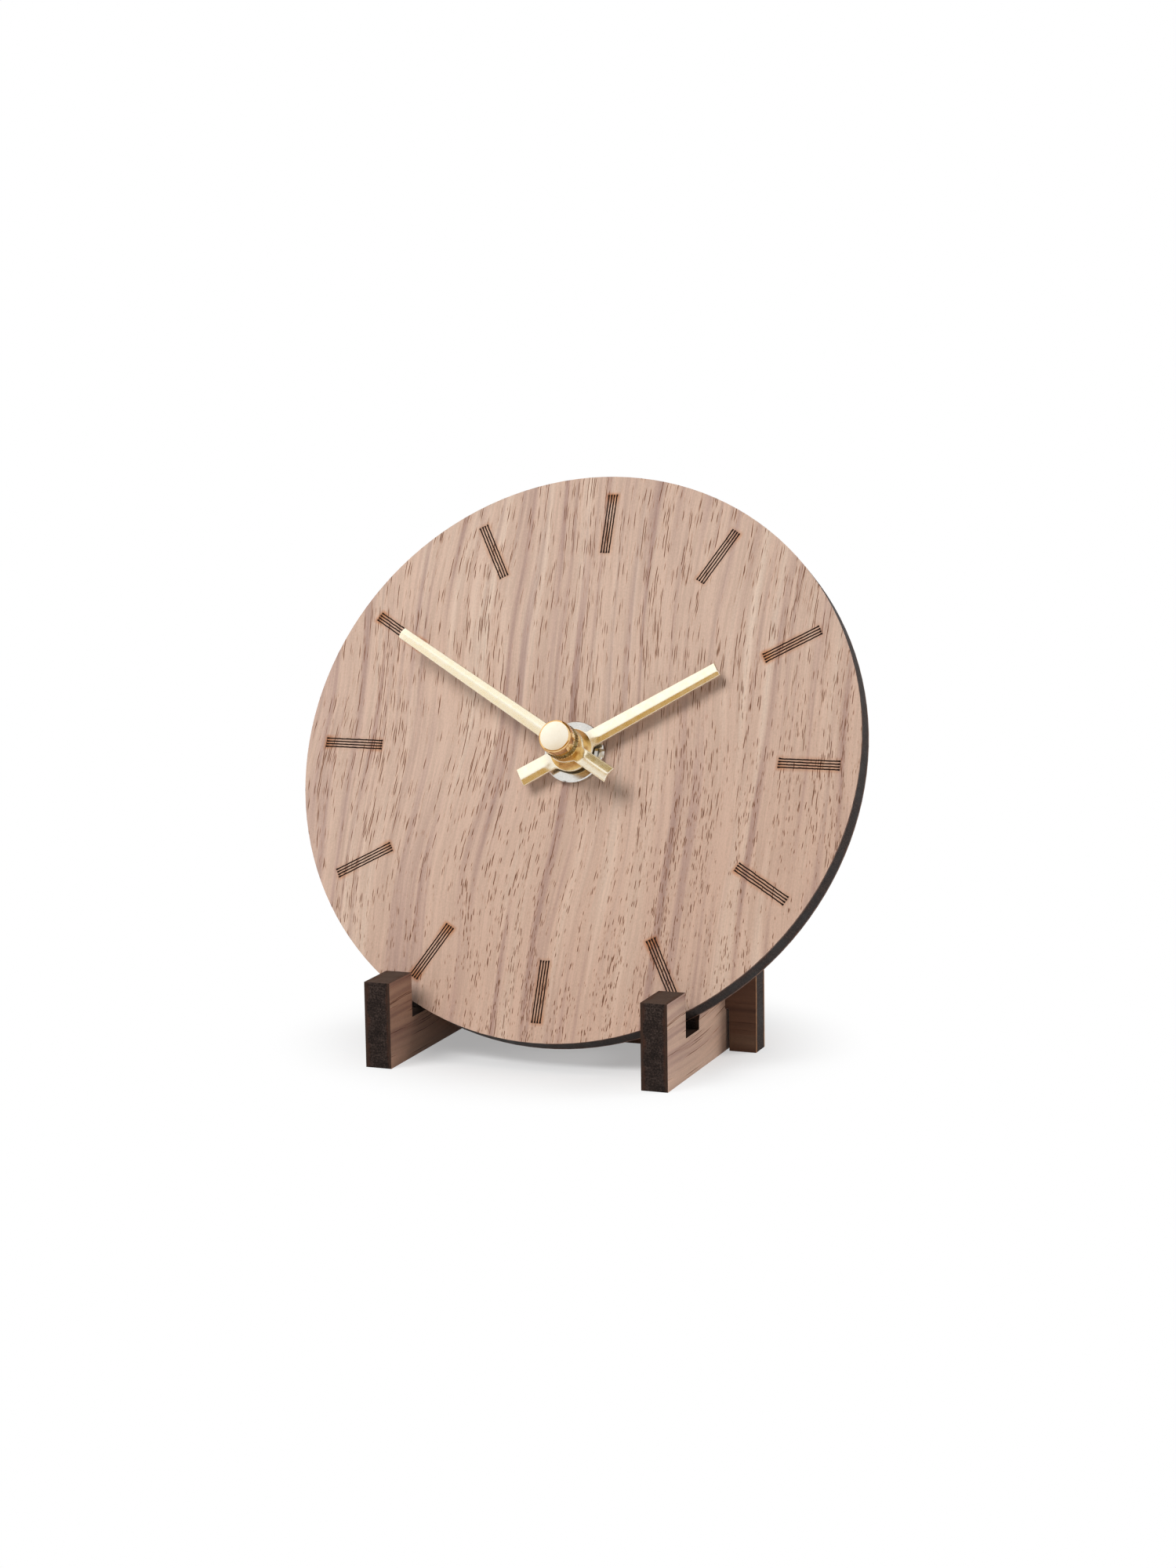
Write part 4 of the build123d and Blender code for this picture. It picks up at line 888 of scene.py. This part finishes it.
class CLOCK_OT_studio(bpy.types.Operator):
    """Pale floor, soft light and the camera"""

    bl_idname = "clock.studio"
    bl_label = "Set up the studio"

    def execute(self, context):
        scene = context.scene
        studio = scene.clock.studio
        scene.view_settings.view_transform = "Standard"
        self.lay_floor(studio)
        self.hang_cards()
        # World: even fill on the clock, and a plain white background to the eye
        scene.world = bpy.data.worlds.new("studio")
        scene.world.use_nodes = True
        scene.world.node_tree.nodes.clear()
        put = partial(add, scene.world.node_tree)
        strength = put("MapRange", [seen_rays(put), 0.0, 1.0, studio.fill, 1.0])
        put("OutputWorld", [put("Background", {"Color": WHITE, "Strength": strength})])
        # Lamps turned to the clock: a large soft box high on the left in front, and a weak one on the right
        # behind. The metal reflects the white surroundings and not the lamps, which would clip
        lamps = (("key", studio.key, studio.key_place), ("side", studio.side, studio.side_place))
        for name, power, spot in lamps:
            lamp = bpy.data.lights.new(name, "AREA")
            lamp.energy = power
            lamp.shape = "DISK"
            lamp.size = studio.lamp_size
            light = bpy.data.objects.new(name, lamp)
            light.location = spot
            aim = DIAL_CENTRE - np.array(spot)
            light.rotation_euler = (atan2(np.hypot(aim[0], aim[1]), -aim[2]), 0.0, atan2(-aim[0], aim[1]))
            light.visible_glossy = False
            scene.collection.objects.link(light)
        # Camera: the sensor's width belongs to the long side of the upright picture
        camera = bpy.data.cameras.new("camera")
        camera.sensor_width = 36.0
        camera.lens = studio.lens
        camera.clip_start = 0.01
        eye = bpy.data.objects.new("camera", camera)
        eye.location = studio.camera_place
        eye.rotation_euler = studio.camera_turn
        scene.collection.objects.link(eye)
        scene.camera = eye
        return {"FINISHED"}

    def lay_floor(self, studio):
        """Matt paper that keeps the clock's shadow near it and fades to plain white further off."""
        paper, put = new_material("matt_paper")
        (x, y), (half_x, half_y), reach = (-0.002, 0.0), (0.04, 0.036), 6.0
        oval = {"Location": (-x / half_x, -y / half_y, 0.0), "Scale": (1 / half_x, 1 / half_y, 1.0)}
        ratio = put("Mapping", {"Vector": put("TexCoord", pick="Object"), **oval})
        distance = put("VectorMath", [ratio], pick="Value", operation="LENGTH")
        far = put("MapRange", [distance, 0.6, 1.6, studio.lift, 1.0], **SMOOTH)
        share = put("Math", [far, seen_rays(put)], operation="MULTIPLY")
        dull = {"Base Color": studio.floor, "Roughness": 0.9, "Specular IOR Level": 0.1}
        white = put("Emission", {"Color": WHITE, "Strength": 1.0})
        put("OutputMaterial", [put("MixShader", [share, put("BsdfPrincipled", dull), white])])
        corners = [(-reach, -reach, 0.0), (reach, -reach, 0.0), (reach, reach, 0.0), (-reach, reach, 0.0)]
        flat_panel("floor", corners, paper)

    def hang_cards(self):
        """Cards that only the metal sees: a glowing one high on the left, a pale one low on the left, a warm
        one in front, a gold one above for the minute hand's tail, and a dark one behind it that draws a line
        on the cap's bevel."""
        glow = [(-0.75, -0.45, 0.322), (-0.75, 0.3, 0.322), (0.0, 0.3, 0.989), (0.0, -0.45, 0.989)]
        pale = [(-1.0, -0.45, 0.002), (-0.45, -0.95, 0.002), (-0.45, -0.95, 0.4), (-1.0, -0.45, 0.4)]
        warm = [(-0.4, -0.3, 0.002), (1.5, -0.3, 0.002), (1.7, -1.2, 0.6), (-0.4, -1.2, 0.6)]
        gold = [(-0.06, -0.22, 0.6), (0.3, -0.22, 0.6), (0.3, 0.0, 0.6), (-0.06, 0.0, 0.6)]
        dark = [(-0.05, 0.0, 0.6), (0.8, 0.0, 0.6), (0.8, 0.8, 0.6), (-0.05, 0.8, 0.6)]
        cards = (
            ("glow_card", "#FFFCF4", 1.3, glow),
            ("pale_card", "#FFFBEF", 1.15, pale),
            ("warm_card", "#C29B52", 1.0, warm),
            ("gold_card", "#B0913F", 1.0, gold),
            ("dark_card", "#1A1715", 1.0, dark),
        )
        for name, colour, strength, corners in cards:
            paint, put = new_material(name)
            put("OutputMaterial", [put("Emission", {"Color": linear(colour), "Strength": strength})])
            card = flat_panel(name, corners, paint)
            card.visible_camera = card.visible_diffuse = card.visible_shadow = False


OPERATORS = (
    CLOCK_OT_dial,
    CLOCK_OT_stand,
    CLOCK_OT_hands,
    CLOCK_OT_cap,
    CLOCK_OT_fixing,
    CLOCK_OT_movement,
    CLOCK_OT_works,
    CLOCK_OT_studio,
)


class CLOCK_PT_panel(bpy.types.Panel):
    """Lists the clock's operators and settings"""

    bl_idname = "CLOCK_PT_panel"
    bl_label = "Desk clock"
    bl_space_type = "VIEW_3D"
    bl_region_type = "UI"
    bl_category = "Clock"

    def draw(self, context):
        for operator in OPERATORS:
            self.layout.operator(operator.bl_idname)
        settings = context.scene.clock
        for group in (settings.dial, settings.stand, settings.hands, settings.studio):
            column = self.layout.box().column()
            for name in group.__annotations__:
                column.prop(group, name)


SETTINGS = (DialSettings, StandSettings, HandSettings, StudioSettings, ClockSettings)
CLASSES = (*SETTINGS, *OPERATORS, CLOCK_PT_panel)


def register():
    for cls in CLASSES:
        bpy.utils.register_class(cls)
    bpy.types.Scene.clock = bpy.props.PointerProperty(type=ClockSettings)


def unregister():
    del bpy.types.Scene.clock
    for cls in reversed(CLASSES):
        bpy.utils.unregister_class(cls)


def main():
    register()
    bpy.ops.clock.dial()
    bpy.ops.clock.stand()
    bpy.ops.clock.hands()
    bpy.ops.clock.cap()
    bpy.ops.clock.fixing()
    bpy.ops.clock.movement()
    bpy.ops.clock.works()
    bpy.ops.clock.studio()


if __name__ == "__main__":
    main()
